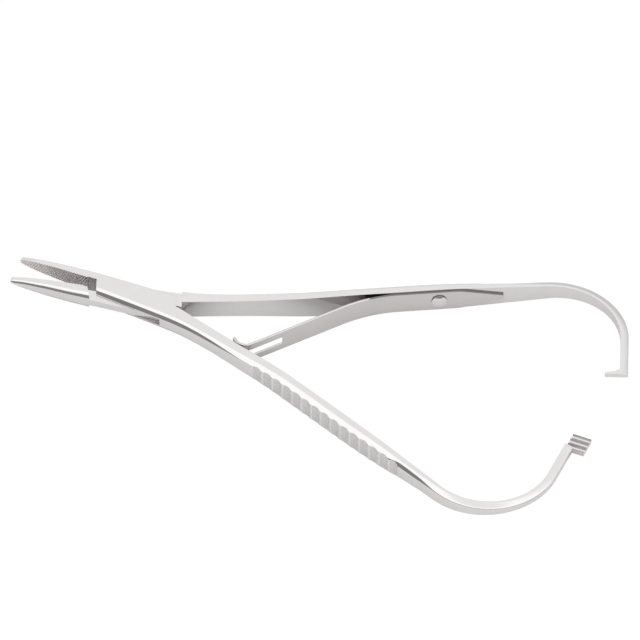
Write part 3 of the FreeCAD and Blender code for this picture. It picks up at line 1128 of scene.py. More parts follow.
@dataclass(frozen=True)
class HandleForm:
    """A bowed handle, measured from its inner edge and along it from root to end.

    Attributes:
        root: where the inner edge starts.
        bend: where it bends outwards.
        bend_radius: of that bend.
        shoulder_slope_deg: slope from the bend to the corner.
        corner_radius: of the corner where the end turns in.
        margin: how far the blank reaches in past the inner edge.
        stations: even steps along the handle.
        edge_step: most between two points of the cut inner edge.
        end_clear: how far the inner cut reaches from the end towards the joint.
        thickness: across, in plan.
        height: upright.
        edge_width: of the eased outer edge.
        flank: steep part of that edge.
        crown: how far the top is crowned instead of bevelled.
        crown_tilts: surface tilts of the crowned top, as in a Corner.
        crown_share: width of the crown as a share of the thickness.
        end_thickness: thickness at the end.
        end_height: height at the end.
    """

    root: Vector = Vector((13.0, 0.94, 0))
    bend: Vector = Vector((38.0, 7.8, 0))
    bend_radius: float = 150.0
    shoulder_slope_deg: float = 19.4
    corner_radius: float = 15.0
    margin: float = 0.8
    stations: int = 130
    edge_step: float = 0.4
    end_clear: float = 30.0
    thickness: Profile = Profile(((0.0, 3.3), (0.1, 2.94), (0.25, 2.7), (0.45, 2.7), (0.65, 1.9), (1.0, 1.9)))
    height: Profile = Profile((
        (0.0, 4.8),
        (0.1, 4.8),
        (0.27, 6.3),
        (0.5, 6.3),
        (0.64, 4.545),
        (0.77, 2.985),
        (0.86, 2.4),
        (1.0, 2.4),
    ))
    edge_width: Profile = Profile((
        (0.0, 1.05),
        (0.2, 0.9),
        (0.55, 0.9),
        (0.65, 0.5),
        (0.8, 0.42),
        (1.0, 0.4),
    ))
    flank: Profile = Profile((
        (0.0, 1.0),
        (0.07, 0.8),
        (0.15, 0.03),
        (0.5, 0.03),
        (0.548, 0.25),
        (0.562, 1.2),
        (0.62, 1.0),
        (0.66, 0.2),
        (1.0, 0.1),
    ), 0.008)
    crown: Profile = Profile(((0.0, 0.0), (0.12, 0.0), (0.3, 0.3), (0.58, 0.3), (0.7, 1.0), (1.0, 1.0)), 0.02)
    crown_tilts: tuple[float, ...] = (0, 14, 26, 50, 64, 90)
    crown_share: float = 0.75
    end_thickness: float = 1.9
    end_height: float = 2.4

    def outer_corner(self, share: float) -> Corner:
        """Form of the outer edge: a bevel that becomes a crowned top.

        Args:
            share: place from root to end.

        Returns:
            The corner there.
        """
        crown = self.crown.at(share)
        edge = Corner(self.edge_width.at(share), self.flank.at(share))
        width = mix(edge.width, self.crown_share * self.thickness.at(share), crown)
        tilts = tuple(mix(plain, crowned, crown) for plain, crowned in zip(edge.tilts, self.crown_tilts))
        return Corner(width, edge.flank, tilts=tilts)

    def route(self, end: HandleEnd) -> Route:
        """Lay out the inner edge.

        Args:
            end: where it ends.

        Returns:
            The edge from the root on.
        """
        slope = math.tan(math.radians(self.shoulder_slope_deg))
        lean = math.tan(math.radians(end.lean_deg))
        rise = end.y - self.bend.y + slope * self.bend.x
        corner_x = (end.x + lean * rise) / (1 + lean * slope)
        corner = Vector((corner_x, self.bend.y + slope * (corner_x - self.bend.x), 0))
        last = Vector((end.x, end.y, 0))
        return Route([self.root, self.bend, corner, last], [self.bend_radius, self.corner_radius])


@dataclass(frozen=True)
class GripForm:
    """Shallow scallops on a handle's outer side.

    Attributes:
        count: number of scallops.
        pitch: from one to the next, along the inner edge.
        depth: of a scallop.
        width_share: width of a scallop as a share of the pitch.
        start: from the handle's root to the first one.
        path_pieces: straight pieces between two scallops on the path that places them.
        cutter_height: of the rounds that cut them.
    """

    count: int = 15
    pitch: float = 3.07
    depth: float = 0.3
    width_share: float = 0.87
    start: float = 22.5
    path_pieces: int = 4
    cutter_height: float = 9.6

    @property
    def radius(self) -> float:
        """Radius of the round that cuts a scallop."""
        half_chord = self.pitch * self.width_share / 2
        return (half_chord**2 + self.depth**2) / (2 * self.depth)


@dataclass(frozen=True)
class CatchForm:
    """The hook's flat tip and the toothed plate that it passes over.

    Attributes:
        lap_clearance: from the middle of the height to the hook, and to the plate.
        lap_length: of the handle's end that is cut to half its height.
        hook_length: from the handle's inner edge to the hook's tip.
        hook_width: of the hook bar.
        hook_tip_share: width of its tip as a share of that.
        hook_fillet: of the corner between the hook and the handle.
        plate_reach: of the plate outwards from the inner edge.
        plate_length: of the plate past the handle's end.
        teeth: number of teeth.
        tooth_height: of a tooth.
        slope_share: share of the pitch that a tooth's slope takes.
        floor_share: share of the pitch at which the floor ends and the steep face starts.
    """

    lap_clearance: float = 0.06
    lap_length: float = 6.5
    hook_length: float = 3.4
    hook_width: float = 0.85
    hook_tip_share: float = 0.5
    hook_fillet: float = 1.2
    plate_reach: float = 4.5
    plate_length: float = 4.6
    teeth: int = 3
    tooth_height: float = 0.45
    slope_share: float = 0.45
    floor_share: float = 0.83


@dataclass
class ForgedArm:
    """What both arms share: a jaw, their part of the joint and a scalloped handle.

    Attributes:
        name: the finished piece's name.
        node: CAD node that it stands for.
        body: CAD body that it rides on.
        side: the handle's side at rest.
        end: where the handle's inner edge ends.
        steel: polished finish.
        grip_steel: ground finish of the scallops.
        hatch_steel: finish of the hatched face.
        rough_shaded_steel: rough finish inside the joint, its dark colour painted shade.
        rounds: tree for the scallops.
        bars: tree for the grooves.
        joint: sizes of the joint.
        jaw: sizes of the jaw.
        handle: sizes of the handle.
        grip: sizes of the scallops.
        catch: sizes of the catch.
        bridge_steps: even steps from the joint to the handle's root.
        front_ease: rings before and after the joint's front that are smoothed, and how often.
        rear_ease: the same at the handle's root.
    """

    name: str
    node: str
    body: str
    side: Side
    end: HandleEnd
    steel: bpy.types.Material
    grip_steel: bpy.types.Material
    hatch_steel: bpy.types.Material
    rough_shaded_steel: bpy.types.Material
    rounds: Tree
    bars: Tree
    joint: JointForm = field(default_factory=JointForm)
    jaw: JawForm = field(default_factory=JawForm)
    handle: HandleForm = field(default_factory=HandleForm)
    grip: GripForm = field(default_factory=GripForm)
    catch: CatchForm = field(default_factory=CatchForm)
    bridge_steps: int = 5
    front_ease: tuple[int, int, int] = (8, 6, 8)
    rear_ease: tuple[int, int, int] = (11, 9, 40)

    def __post_init__(self) -> None:
        """Lay out the handle's inner edge."""
        self.route = self.handle.route(self.end)

    @property
    def past_tip(self) -> float:
        """X value well past the jaw's tip."""
        return -2 * self.jaw.reach

    def blank(self) -> Solid:
        """Skin the forging before anything is cut: both jaw halves wide, the joint and one handle.

        Returns:
            The blank.
        """
        jaws, joint, handle = self._jaw_rings(), self._joint_rings(), self._handle_rings()
        bridge = [
            [start.lerp(end, share / self.bridge_steps) for start, end in zip(joint[-1], handle[0])]
            for share in range(1, self.bridge_steps)
        ]
        rings = [*jaws, *joint, *bridge, *handle]
        count = len(rings[0])
        self._ease(rings, len(jaws), self.front_ease, range(count))
        # A ring starts and ends on its outer side, so its first and last quarters are outside
        outer = [index for index in range(count) if index < count // 4 or index >= 3 * count // 4]
        self._ease(rings, len(rings) - len(handle), self.rear_ease, outer)
        return Solid.skinned(self.name, rings)

    @staticmethod
    def _ease(
        rings: list[list[Vector]], kink: int, ease: tuple[int, int, int], picked: Iterable[int]
    ) -> None:
        """Smooth a kink along the arm out.

        Args:
            rings: the arm's rings, whose points move.
            kink: number of the ring at the kink.
            ease: how many rings before and after it move, and how often.
            picked: numbers of the points in a ring that move.
        """
        before, after, passes = ease
        run = range(kink - before, kink + after)
        for _ in range(passes):
            old = {index: list(rings[index]) for index in range(run.start - 1, run.stop + 1)}
            for ring in run:
                for point in picked:
                    beside = old[ring - 1][point] + old[ring + 1][point]
                    rings[ring][point] = (old[ring][point] * 2 + beside) / 4

    def _jaw_rings(self) -> list[list[Vector]]:
        """Lay out the jaw, its end rounded off.

        Returns:
            Rings from the tip to the joint.
        """
        jaw, joint = self.jaw, self.joint
        rings = []
        for step in range(jaw.tip_steps):
            turn = math.radians(90 * step / jaw.tip_steps)
            inset = jaw.tip_round_off * (1 - math.sin(turn))
            x = -jaw.reach + jaw.tip_round_off * (1 - math.cos(turn))
            rings.append(jaw.section_at(x, 1.0, inset))
        first = 1 - jaw.tip_round_off / (jaw.reach - joint.half_length)
        for index in range(jaw.stations):
            share = first * (1 - index / jaw.stations)
            rings.append(jaw.section_at(-mix(joint.half_length, jaw.reach, share), share))
        return rings

    def _joint_rings(self) -> list[list[Vector]]:
        """Lay out the joint.

        Returns:
            Rings from its front to its rear.
        """
        joint = self.joint
        rings = []
        for index in range(joint.stations + 1):
            share = index / joint.stations
            base = Vector((mix(-joint.half_length, joint.half_length, share), 0, 0))
            half, edge = joint.half_width.at(share), Corner(joint.edge_width.at(share), joint.flank.at(share))
            rings.append(section(base, ACROSS, (-half, half), joint.height, (edge, edge)))
        return rings

    def _handle_rings(self) -> list[list[Vector]]:
        """Lay out the handle, a margin wide on the inside.

        Returns:
            Rings from its root to its end.
        """
        form = self.handle
        rings = []
        for index in range(form.stations + 1):
            share = index / form.stations
            point, direction = self.route.at(self.route.length * share)
            reach = (-form.margin, form.thickness.at(share))
            corners = (Corner(form.margin / 2), form.outer_corner(share))
            rings.append(section(point, outward_of(direction), reach, form.height.at(share), corners))
        return rings

    def root_on_centre(self) -> Vector:
        """Where the handle's inner line, run back from its root, meets the centre line."""
        start, direction = self.route.at(0)
        return start + direction * ((self.jaw.gap - start.y) / direction.y)

    def cut_inside(self, arm: Solid, shoulder: list[Vector]) -> None:
        """Cut everything on the handle's inner side, from a shoulder line to its end.

        Args:
            arm: the arm.
            shoulder: plan points of the line, from the jaw's side to the centre line.
        """
        end, _ = self.route.at(self.route.length)
        clear_x = end.x - self.handle.end_clear
        below = shoulder[0].y - PAST
        closing = [(clear_x, end.y), (clear_x, below), (shoulder[0].x, below)]
        outline = [*shoulder, self.root_on_centre(), *self.route.points(self.handle.edge_step)]
        outline += [Vector((x, y, 0)) for x, y in closing]
        arm.combine(Solid.prism("inside", outline, -CLEAR, CLEAR), Join.CUT)

    def cut_block(
        self,
        arm: Solid,
        outline: list[tuple[float, float]],
        bottom: float,
        top: float,
        raw: Iterable[int] = (),
    ) -> None:
        """Cut an upright block from the arm.

        Args:
            arm: the arm.
            outline: the block's corners in plan.
            bottom: the block's lower level.
            top: its upper level.
            raw: numbers of the block's faces that leave a rough surface darkened with painted shade.
        """
        block = Solid.prism("block", [Vector((x, y, 0)) for x, y in outline], bottom, top)
        arm.combine(block.coat(self.steel).coat(self.rough_shaded_steel, raw), Join.CUT)

    def cut_pin_hole(self, arm: Solid) -> None:
        """Bore the arm for the pivot pin.

        Args:
            arm: the arm.
        """
        half = self.joint.height / 2 + PAST
        radius = self.joint.pin_radius
        arm.combine(Solid.turned("bore", [(radius, -half), (radius, half)], Vector((0, 0, 0)), UP), Join.CUT)

    def cut_scallops(self, arm: Solid) -> None:
        """Cut the grip's scallops along the outer side.

        Args:
            arm: the arm.
        """
        grip = self.grip
        path = bmesh.new()
        points = []
        pieces = grip.path_pieces * (grip.count - 1)
        for index in range(pieces + 1):
            distance = grip.start + grip.pitch * (grip.count - 1) * index / pieces
            point, direction = self.route.at(distance)
            reach = self.handle.thickness.at(distance / self.route.length) - grip.depth + grip.radius
            points.append(path.verts.new(point + outward_of(direction) * reach))
        for start, end in zip(points, points[1:]):
            path.edges.new((start, end))
        values = {
            "Count": grip.count,
            "Radius": grip.radius,
            "Height": grip.cutter_height,
            "Material": self.grip_steel,
        }
        arm.combine(self.rounds.grow("scallops", path, values), Join.CUT)

    def hatch_jaw(self, arm: Solid, relief_end_x: float) -> None:
        """Cut the relief behind the hatching, then two crossing sets of grooves.

        Args:
            arm: the arm.
            relief_end_x: where the relief meets the joint.
        """
        jaw = self.jaw
        deep = -jaw.gap - jaw.relief_depth
        start_x, end_x = jaw.hatch_end_x, relief_end_x
        self.cut_block(arm, [(start_x, deep), (end_x, deep), (end_x, PAST), (start_x, PAST)], -CLEAR, CLEAR)
        runs = ((1, jaw.hatch_end_x, -jaw.reach - jaw.deepest), (-1, jaw.cross_from_x, jaw.cross_to_x))
        for side, start_x, end_x in runs:
            turn = math.radians(side * jaw.hatch_angle_deg)
            along = Vector((math.cos(turn), 0, math.sin(turn)))
            spacing = jaw.hatch_pitch / abs(math.sin(turn))
            reach = 2 * jaw.deepest / abs(along.z)
            grooves = Grooves(self.bars, jaw.hatch_pitch - jaw.land, jaw.hatch_depth, reach)
            bars = grooves.solid(
                first=Vector((start_x, -jaw.gap, 0)),
                step=Vector((-spacing, 0, 0)),
                along=along,
                inward=-ACROSS,
                count=int((start_x - end_x) / spacing),
                material=self.hatch_steel,
            )
            arm.combine(bars, Join.CUT)

    def place(self, solid: Solid) -> None:
        """Bring a solid from the closed frame to its place at rest, in metres.

        Args:
            solid: the solid.
        """
        turn = Matrix.Rotation(math.radians(self.side.value * self.joint.open_angle / 2), 4, "Z")
        mirror = Matrix.Diagonal((1, self.side.value, 1, 1))
        lift = Matrix.Translation(UP * (self.joint.height / 2))
        solid.move(Matrix.Scale(MM, 4) @ lift @ turn @ mirror)

    def dress(self, arm: Solid) -> bpy.types.Object:
        """Place and finish the arm and put it in its node's stead.

        Args:
            arm: the cut arm.

        Returns:
            The finished piece.
        """
        arm.weld()
        self.place(arm)
        piece = arm.finish([self.steel, self.grip_steel, self.hatch_steel, self.rough_shaded_steel])
        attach(piece, self.body)
        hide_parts(self.node)
        return piece


class BoxArm(ForgedArm):
    """The arm with the slot, and the toothed plate at its handle's end."""

    def build(self) -> bpy.types.Object:
        """Cut the arm, add the plate and dress it.

        Returns:
            The finished piece.
        """
        joint, gap = self.joint, self.jaw.gap
        wide, far = joint.wide, self.past_tip
        front, rear = joint.front_edge_x, joint.rear_edge_x
        arm = self.blank()
        beside_jaw = [(far, -gap), (front, -gap), (front + joint.slant * wide, wide), (far, wide)]
        self.cut_block(arm, beside_jaw, -CLEAR, CLEAR)
        self.cut_inside(arm, [Vector((rear - joint.slant * wide, -wide, 0)), Vector((rear, gap, 0))])
        self.cut_slot(arm)
        self.cut_pin_hole(arm)
        self.add_plate(arm)
        self.cut_scallops(arm)
        self.hatch_jaw(arm, front)
        return self.dress(arm)

    def cut_slot(self, arm: Solid) -> None:
        """Cut the slot for the tongue, every face rough and darkened with painted shade.

        Args:
            arm: the arm.
        """
        joint, gap = self.joint, self.jaw.gap
        wide, far = joint.wide, self.past_tip
        end, diagonal = joint.slot_end_x, joint.slot_diagonal
        slot = [(far, wide), (far, -gap), (-end - diagonal, -gap), (-end, -gap - diagonal), (-end, -wide)]
        slot += [(2 * wide, -wide), (end + diagonal, gap), (end, gap + diagonal), (end, wide)]
        sides_and_ends = range(len(slot) + 2)
        half = joint.tongue_height / 2 + joint.slot_clearance
        self.cut_block(arm, slot, -half, half, sides_and_ends)

    def add_plate(self, arm: Solid) -> None:
        """Add the catch's plate in the lower half, with radial teeth on top.

        Args:
            arm: the arm.
        """
        form = self.catch
        end, direction = self.route.at(self.route.length)
        outward = outward_of(direction)
        far = end + direction * form.plate_length
        outline = [end, far, far + outward * form.plate_reach, end + outward * form.plate_reach]
        top, low = -form.lap_clearance, -form.lap_clearance - form.tooth_height
        plate = Solid.prism("plate", outline, -self.handle.end_height / 2, top)
        pitch = form.plate_length / form.teeth
        profile = [(0.0, top), (form.slope_share, low), (form.floor_share, low), (1.0, top)]
        profile += [(1.0, PAST), (0.0, PAST)]
        steep_face = 2  # From the third point of the profile to the fourth
        for index in range(form.teeth):
            rings = []
            for reach in (-PAST, form.plate_reach + PAST):
                start = end + direction * (index * pitch) + outward * reach
                rings.append([start + direction * (share * pitch) + UP * level for share, level in profile])
            notch = Solid.skinned("notch", rings)
            # The steep face of each tooth gets the rough finish, its dark colour painted shade.
            plate.combine(notch.coat(self.steel).coat(self.rough_shaded_steel, [steep_face]), Join.CUT)
        arm.combine(plate, Join.ADD)


class TongueArm(ForgedArm):
    """The arm whose tongue passes through the box, and the hook at its handle's end."""

    def build(self) -> bpy.types.Object:
        """Cut the arm, add the hook and dress it.

        Returns:
            The finished piece.
        """
        joint, gap = self.joint, self.jaw.gap
        wide, far = joint.wide, self.past_tip
        end = joint.slot_end_x - 2 * joint.side_clearance
        reach = joint.slot_diagonal - joint.side_clearance
        arm = self.blank()
        beside_jaw = [(far, -gap), (-end - reach, -gap), (-end, reach - gap), (-end, wide), (far, wide)]
        self.cut_block(arm, beside_jaw, -CLEAR, CLEAR)
        shoulder = [(end, -wide), (end, gap - reach), (end + reach, gap)]
        self.cut_inside(arm, [Vector((x, y, 0)) for x, y in shoulder])
        self.add_hook(arm)
        self.thin_waist(arm)
        self.cut_pin_hole(arm)
        self.cut_scallops(arm)
        self.hatch_jaw(arm, joint.front_edge_x - joint.front_gap)
        return self.dress(arm)

    def thin_waist(self, arm: Solid) -> None:
        """Cut the arm between its shoulders down to the tongue, the rear shoulders rough and darkened with
        painted shade.

        Args:
            arm: the arm.
        """
        joint = self.joint
        wide = joint.wide
        front = joint.front_edge_x - joint.front_gap
        rear = joint.rear_edge_x + joint.rear_gap
        rear_slant = math.tan(math.radians(joint.slant_deg - joint.open_angle))
        waist = [
            (front + joint.slant * wide, -wide),
            (rear + rear_slant * wide, -wide),
            (rear - rear_slant * wide, wide),
            (front - joint.slant * wide, wide),
        ]
        rear_face = 1  # From the second corner to the third
        half = joint.tongue_height / 2
        self.cut_block(arm, waist, half, CLEAR, [rear_face])
        self.cut_block(arm, waist, -CLEAR, -half, [rear_face])

    def add_hook(self, arm: Solid) -> None:
        """Lap the handle's end to its upper half and turn the hook inwards.

        Args:
            arm: the arm.
        """
        form, handle = self.catch, self.handle
        end, direction = self.route.at(self.route.length)
        outward = outward_of(direction)
        outer = end + outward * (handle.end_thickness + PAST)
        inner = end - outward * PAST
        back = direction * form.lap_length
        lap = [inner + direction * PAST, outer + direction * PAST, outer - back, inner - back]
        arm.combine(Solid.prism("lap", lap, -CLEAR, form.lap_clearance), Join.CUT)
        tip = end - outward * form.hook_length
        blade = direction * form.hook_width
        heel = end + outward * handle.margin
        hook = [tip, tip - blade * form.hook_tip_share, end - outward * form.hook_fillet - blade]
        hook += [heel - direction * (form.hook_width + form.hook_fillet), heel]
        arm.combine(Solid.prism("hook", hook, form.lap_clearance, handle.end_height / 2), Join.ADD)


@dataclass
class LeafSpring:
    """The leaf spring, its rivet and the peg in its fork, at rest between the handles.

    Attributes:
        hook_arm: the arm that the spring is riveted to.
        plate_arm: the arm that its foot pushes against.
        thickness: of the leaf.
        width: of the leaf, upright.
        rivet_x: where the rivet stands on the hook arm's inner edge, in the closed frame.
        tail_length: from the rivet to the tail's end.
        taper: length over which the tail narrows.
        taper_blur: blur of that profile.
        tail_width: width at the tail's end.
        leave_length: from the rivet to where the leaf leaves the handle.
        leave_radius: of the bend there.
        leg_turn_deg: turn of the leg from the handle.
        tip_radius: of the bends at the foot.
        foot_length: of the foot along the other handle.
        foot_gap: between the foot and that handle.
        curl_deg: how far the foot's tip curls away from it.
        curl_length: of the curled tip.
        fork_width: of the slot in the foot and the leg.
        fork_length: of the slot in the leg.
        station_step: most between two sections of a strip.
        peg_distance: from the plate arm's root to the place that the foot's wall is taken at.
        peg_from_foot: from the leg's end to the peg.
        peg_radius: of the peg.
        peg_length: of the peg, out of the handle.
        peg_seat: of the peg, twice the depth in the handle.
        peg_soft: radius of its rim.
        peg_steps: steps round that rim.
        rivet_radius: of the rivet's head.
        rivet_rim: height of the head's upright rim.
        rivet_height: of the dome on it.
        dome_steps: steps over the dome.
        neck_share: radius of the neck as a share of the head's.
        edge_width: of the leaf's eased edges.
        edge_tilt: how far a face's normal leans for the face to count as an edge.
    """

    hook_arm: TongueArm
    plate_arm: BoxArm
    thickness: float = 0.55
    width: float = 5.6
    rivet_x: float = 66.0
    tail_length: float = 14.8
    taper: float = 10.0
    taper_blur: float = 0.01
    tail_width: float = 1.2
    leave_length: float = 16.1
    leave_radius: float = 33.0
    leg_turn_deg: float = 23.9
    tip_radius: float = 2.4
    foot_length: float = 2.6
    foot_gap: float = 0.1
    curl_deg: float = 25.0
    curl_length: float = 1.2
    fork_width: float = 2.1
    fork_length: float = 9.9
    station_step: float = 0.3
    peg_distance: float = 14.0
    peg_from_foot: float = 1.8
    peg_radius: float = 0.8
    peg_length: float = 1.9
    peg_seat: float = 1.6
    peg_soft: float = 0.2
    peg_steps: int = 4
    rivet_radius: float = 1.75
    rivet_rim: float = 0.3
    rivet_height: float = 0.46
    dome_steps: int = 16
    neck_share: float = 0.6
    edge_width: float = 0.12
    edge_tilt: float = 0.3

    def __post_init__(self) -> None:
        """Lay out the seat, the leg and the foot."""
        hook_route = self.hook_arm.route
        at_rivet = hook_route.at(hook_route.distance_to_x(self.rivet_x))
        self.seat, self.along = self._opened(at_rivet, Side.FAR)
        self.seat_normal = -outward_of(self.along)
        offset = self.seat_normal * (self.thickness / 2)
        self.tail = self.seat + self.along * self.tail_length + offset
        self.leave = self.seat - self.along * self.leave_length + offset
        leg = Matrix.Rotation(math.radians(self.leg_turn_deg), 3, "Z") @ -self.along
        wall, wall_along = self._opened(self.plate_arm.route.at(self.peg_distance), Side.NEAR)
        self.wall_normal = outward_of(wall_along)
        lifted = wall + self.wall_normal * (self.foot_gap + self.thickness / 2)
        self.foot = crossing(self.leave, leg, lifted, wall_along)
        over_peg = self.foot - wall_along * self.peg_from_foot
        self.peg_base = crossing(over_peg, self.wall_normal, wall, wall_along)
        tip_turn = self.foot - wall_along * self.foot_length
        lift = Matrix.Rotation(math.radians(-self.curl_deg), 3, "Z") @ -wall_along
        tip = tip_turn + lift * self.curl_length
        radii = [self.leave_radius, self.tip_radius, self.tip_radius]
        self.route = Route([self.tail, self.leave, self.foot, tip_turn, tip], radii)
        fork = [self.foot - leg * self.fork_length, self.foot, tip_turn, tip + lift * PAST]
        self.fork_route = Route(fork, radii[1:])

    def _opened(self, line: tuple[Vector, Vector], side: Side) -> tuple[Vector, Vector]:
        """Bring a closed-frame line to its place at rest.

        Args:
            line: a point and a heading.
            side: the side of the handle that they belong to.

        Returns:
            The point and the heading at rest.
        """
        turn = Matrix.Rotation(math.radians(side.value * self.hook_arm.joint.open_angle / 2), 3, "Z")
        mirror = Matrix.Diagonal((1, side.value, 1))
        point, heading = line
        return turn @ mirror @ point, turn @ mirror @ heading

    def to_row(self, solid: Solid) -> None:
        """Bring a solid at rest to the row's frame, in metres."""
        lift = Matrix.Translation(UP * (self.hook_arm.joint.height / 2))
        solid.move(Matrix.Scale(MM, 4) @ lift)

    def strip(self, name: str, route: Route, thickness: float, width: Profile, edge: Corner) -> Solid:
        """Make a strip on edge along a route.

        Args:
            name: the strip's name.
            route: the way that its middle follows.
            thickness: across the route.
            width: upright, from the route's start to its end.
            edge: form of the strip's edges.

        Returns:
            The strip.
        """
        stations = math.ceil(route.length / self.station_step)
        rings = []
        for index in range(stations + 1):
            share = index / stations
            point, direction = route.at(route.length * share)
            reach = (-thickness / 2, thickness / 2)
            rings.append(section(point, outward_of(direction), reach, width.at(share), (edge, edge)))
        return Solid.skinned(name, rings)

    def paint_seat_edge_shade(self, leaf: Solid, steel: bpy.types.Material, shade_steel: bpy.types.Material) -> None:
        """Darken the edges of the part that lies on the handle with a finish that paints shade.

        Args:
            leaf: the leaf.
            steel: finish of everything else.
            shade_steel: dark finish that paints shade on those edges.
        """
        data = leaf.object.data
        data.materials.clear()
        # Painted shade: the edges of the part that lies on the handle get the dark finish.
        seated = [
            face.index
            for face in data.polygons
            if (face.center - self.leave).dot(self.along) > 0 and abs(face.normal.z) > self.edge_tilt
        ]
        leaf.coat(steel).coat(shade_steel, seated)

    def build_leaf(self, steel: bpy.types.Material, shade_steel: bpy.types.Material) -> bpy.types.Object:
        """Make the leaf, tapered to its tail, forked at its foot and bent from one handle to the other.

        Args:
            steel: finish of the leaf.
            shade_steel: dark finish that paints shade on the edges that lie on the handle.

        Returns:
            The finished piece.
        """
        taper = self.taper / self.route.length
        width = Profile(((0.0, self.tail_width), (taper, self.width), (1.0, self.width)), self.taper_blur)
        even = Profile(((0.0, self.fork_width), (1.0, self.fork_width)))
        edge = Corner(self.edge_width)
        leaf = self.strip("leaf_spring_blade", self.route, self.thickness, width, edge)
        slot = self.strip("slot", self.fork_route, self.thickness + 2 * PAST, even, edge)
        leaf.combine(slot, Join.CUT)
        self.paint_seat_edge_shade(leaf, steel, shade_steel)
        self.to_row(leaf)
        piece = leaf.finish([steel, shade_steel])
        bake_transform(piece)
        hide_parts("leaf_spring")
        return piece

    def build_rivet(self, steel: bpy.types.Material, shade_steel: bpy.types.Material) -> bpy.types.Object:
        """Turn the rivet's domed head on the spring and dress it.

        Args:
            steel: finish of the dome.
            shade_steel: dark finish that paints shade on the rim.

        Returns:
            The finished piece.
        """
        radius, height = self.rivet_radius, self.rivet_height
        neck = radius * self.neck_share
        dome = (radius**2 + height**2) / (2 * height)
        profile = [(neck, -self.thickness), (neck, 0), (radius, 0)]
        for step in range(self.dome_steps):
            share = 1 - step / self.dome_steps
            rise = self.rivet_rim + height - dome + math.sqrt(dome**2 - (radius * share) ** 2)
            profile.append((radius * share, rise))
        base = self.seat + self.seat_normal * self.thickness
        rivet = Solid.turned("rivet_head", profile, base, self.seat_normal)
        faces = rivet.object.data.polygons
        # Painted shade: the rim's faces get the dark finish.
        rim = [face.index for face in faces if face.normal.dot(self.seat_normal) < self.edge_tilt]
        rivet.coat(steel).coat(shade_steel, rim)
        self.to_row(rivet)
        piece = rivet.finish([steel, shade_steel])
        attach(piece, TONGUE_SIDE)
        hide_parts("spring_rivet")
        return piece

    def build_peg(self, steel: bpy.types.Material) -> bpy.types.Object:
        """Turn the round peg that stands in the spring's fork and dress it.

        Args:
            steel: its finish.

        Returns:
            The finished piece.
        """
        radius, length, soft = self.peg_radius, self.peg_length, self.peg_soft
        profile = [(radius, -self.peg_seat / 2), (radius, length - soft)]
        for step in range(1, self.peg_steps + 1):
            turn = math.radians(90 * step / self.peg_steps)
            profile.append((radius - soft * (1 - math.cos(turn)), length - soft * (1 - math.sin(turn))))
        peg = Solid.turned("fork_peg", profile, self.peg_base, self.wall_normal)
        self.to_row(peg)
        piece = peg.finish([steel])
        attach(piece, BOX_SIDE)
        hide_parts("spring_guide_peg")
        return piece


@dataclass
class PivotPin:
    """The pin through both cheeks, ground flush.

    Attributes:
        joint: sizes of the joint that it goes through.
        slack: how much smaller its radius is than the bore's.
        edge: of the chamfer at either end.
    """

    joint: JointForm
    slack: float = 0.002
    edge: float = 0.008

    def build(self, steel: bpy.types.Material) -> bpy.types.Object:
        """Turn the pin and dress it.

        Args:
            steel: its finish.

        Returns:
            The finished piece.
        """
        radius, height = self.joint.pin_radius - self.slack, self.joint.height
        inner = radius - self.edge
        profile = [(inner, 0), (radius, self.edge), (radius, height - self.edge), (inner, height)]
        pin = Solid.turned("flush_pin", profile, Vector((0, 0, 0)), UP)
        pin.move(Matrix.Scale(MM, 4))
        piece = pin.finish([steel])
        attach(piece, BOX_SIDE)
        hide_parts("pivot_pin")
        return piece


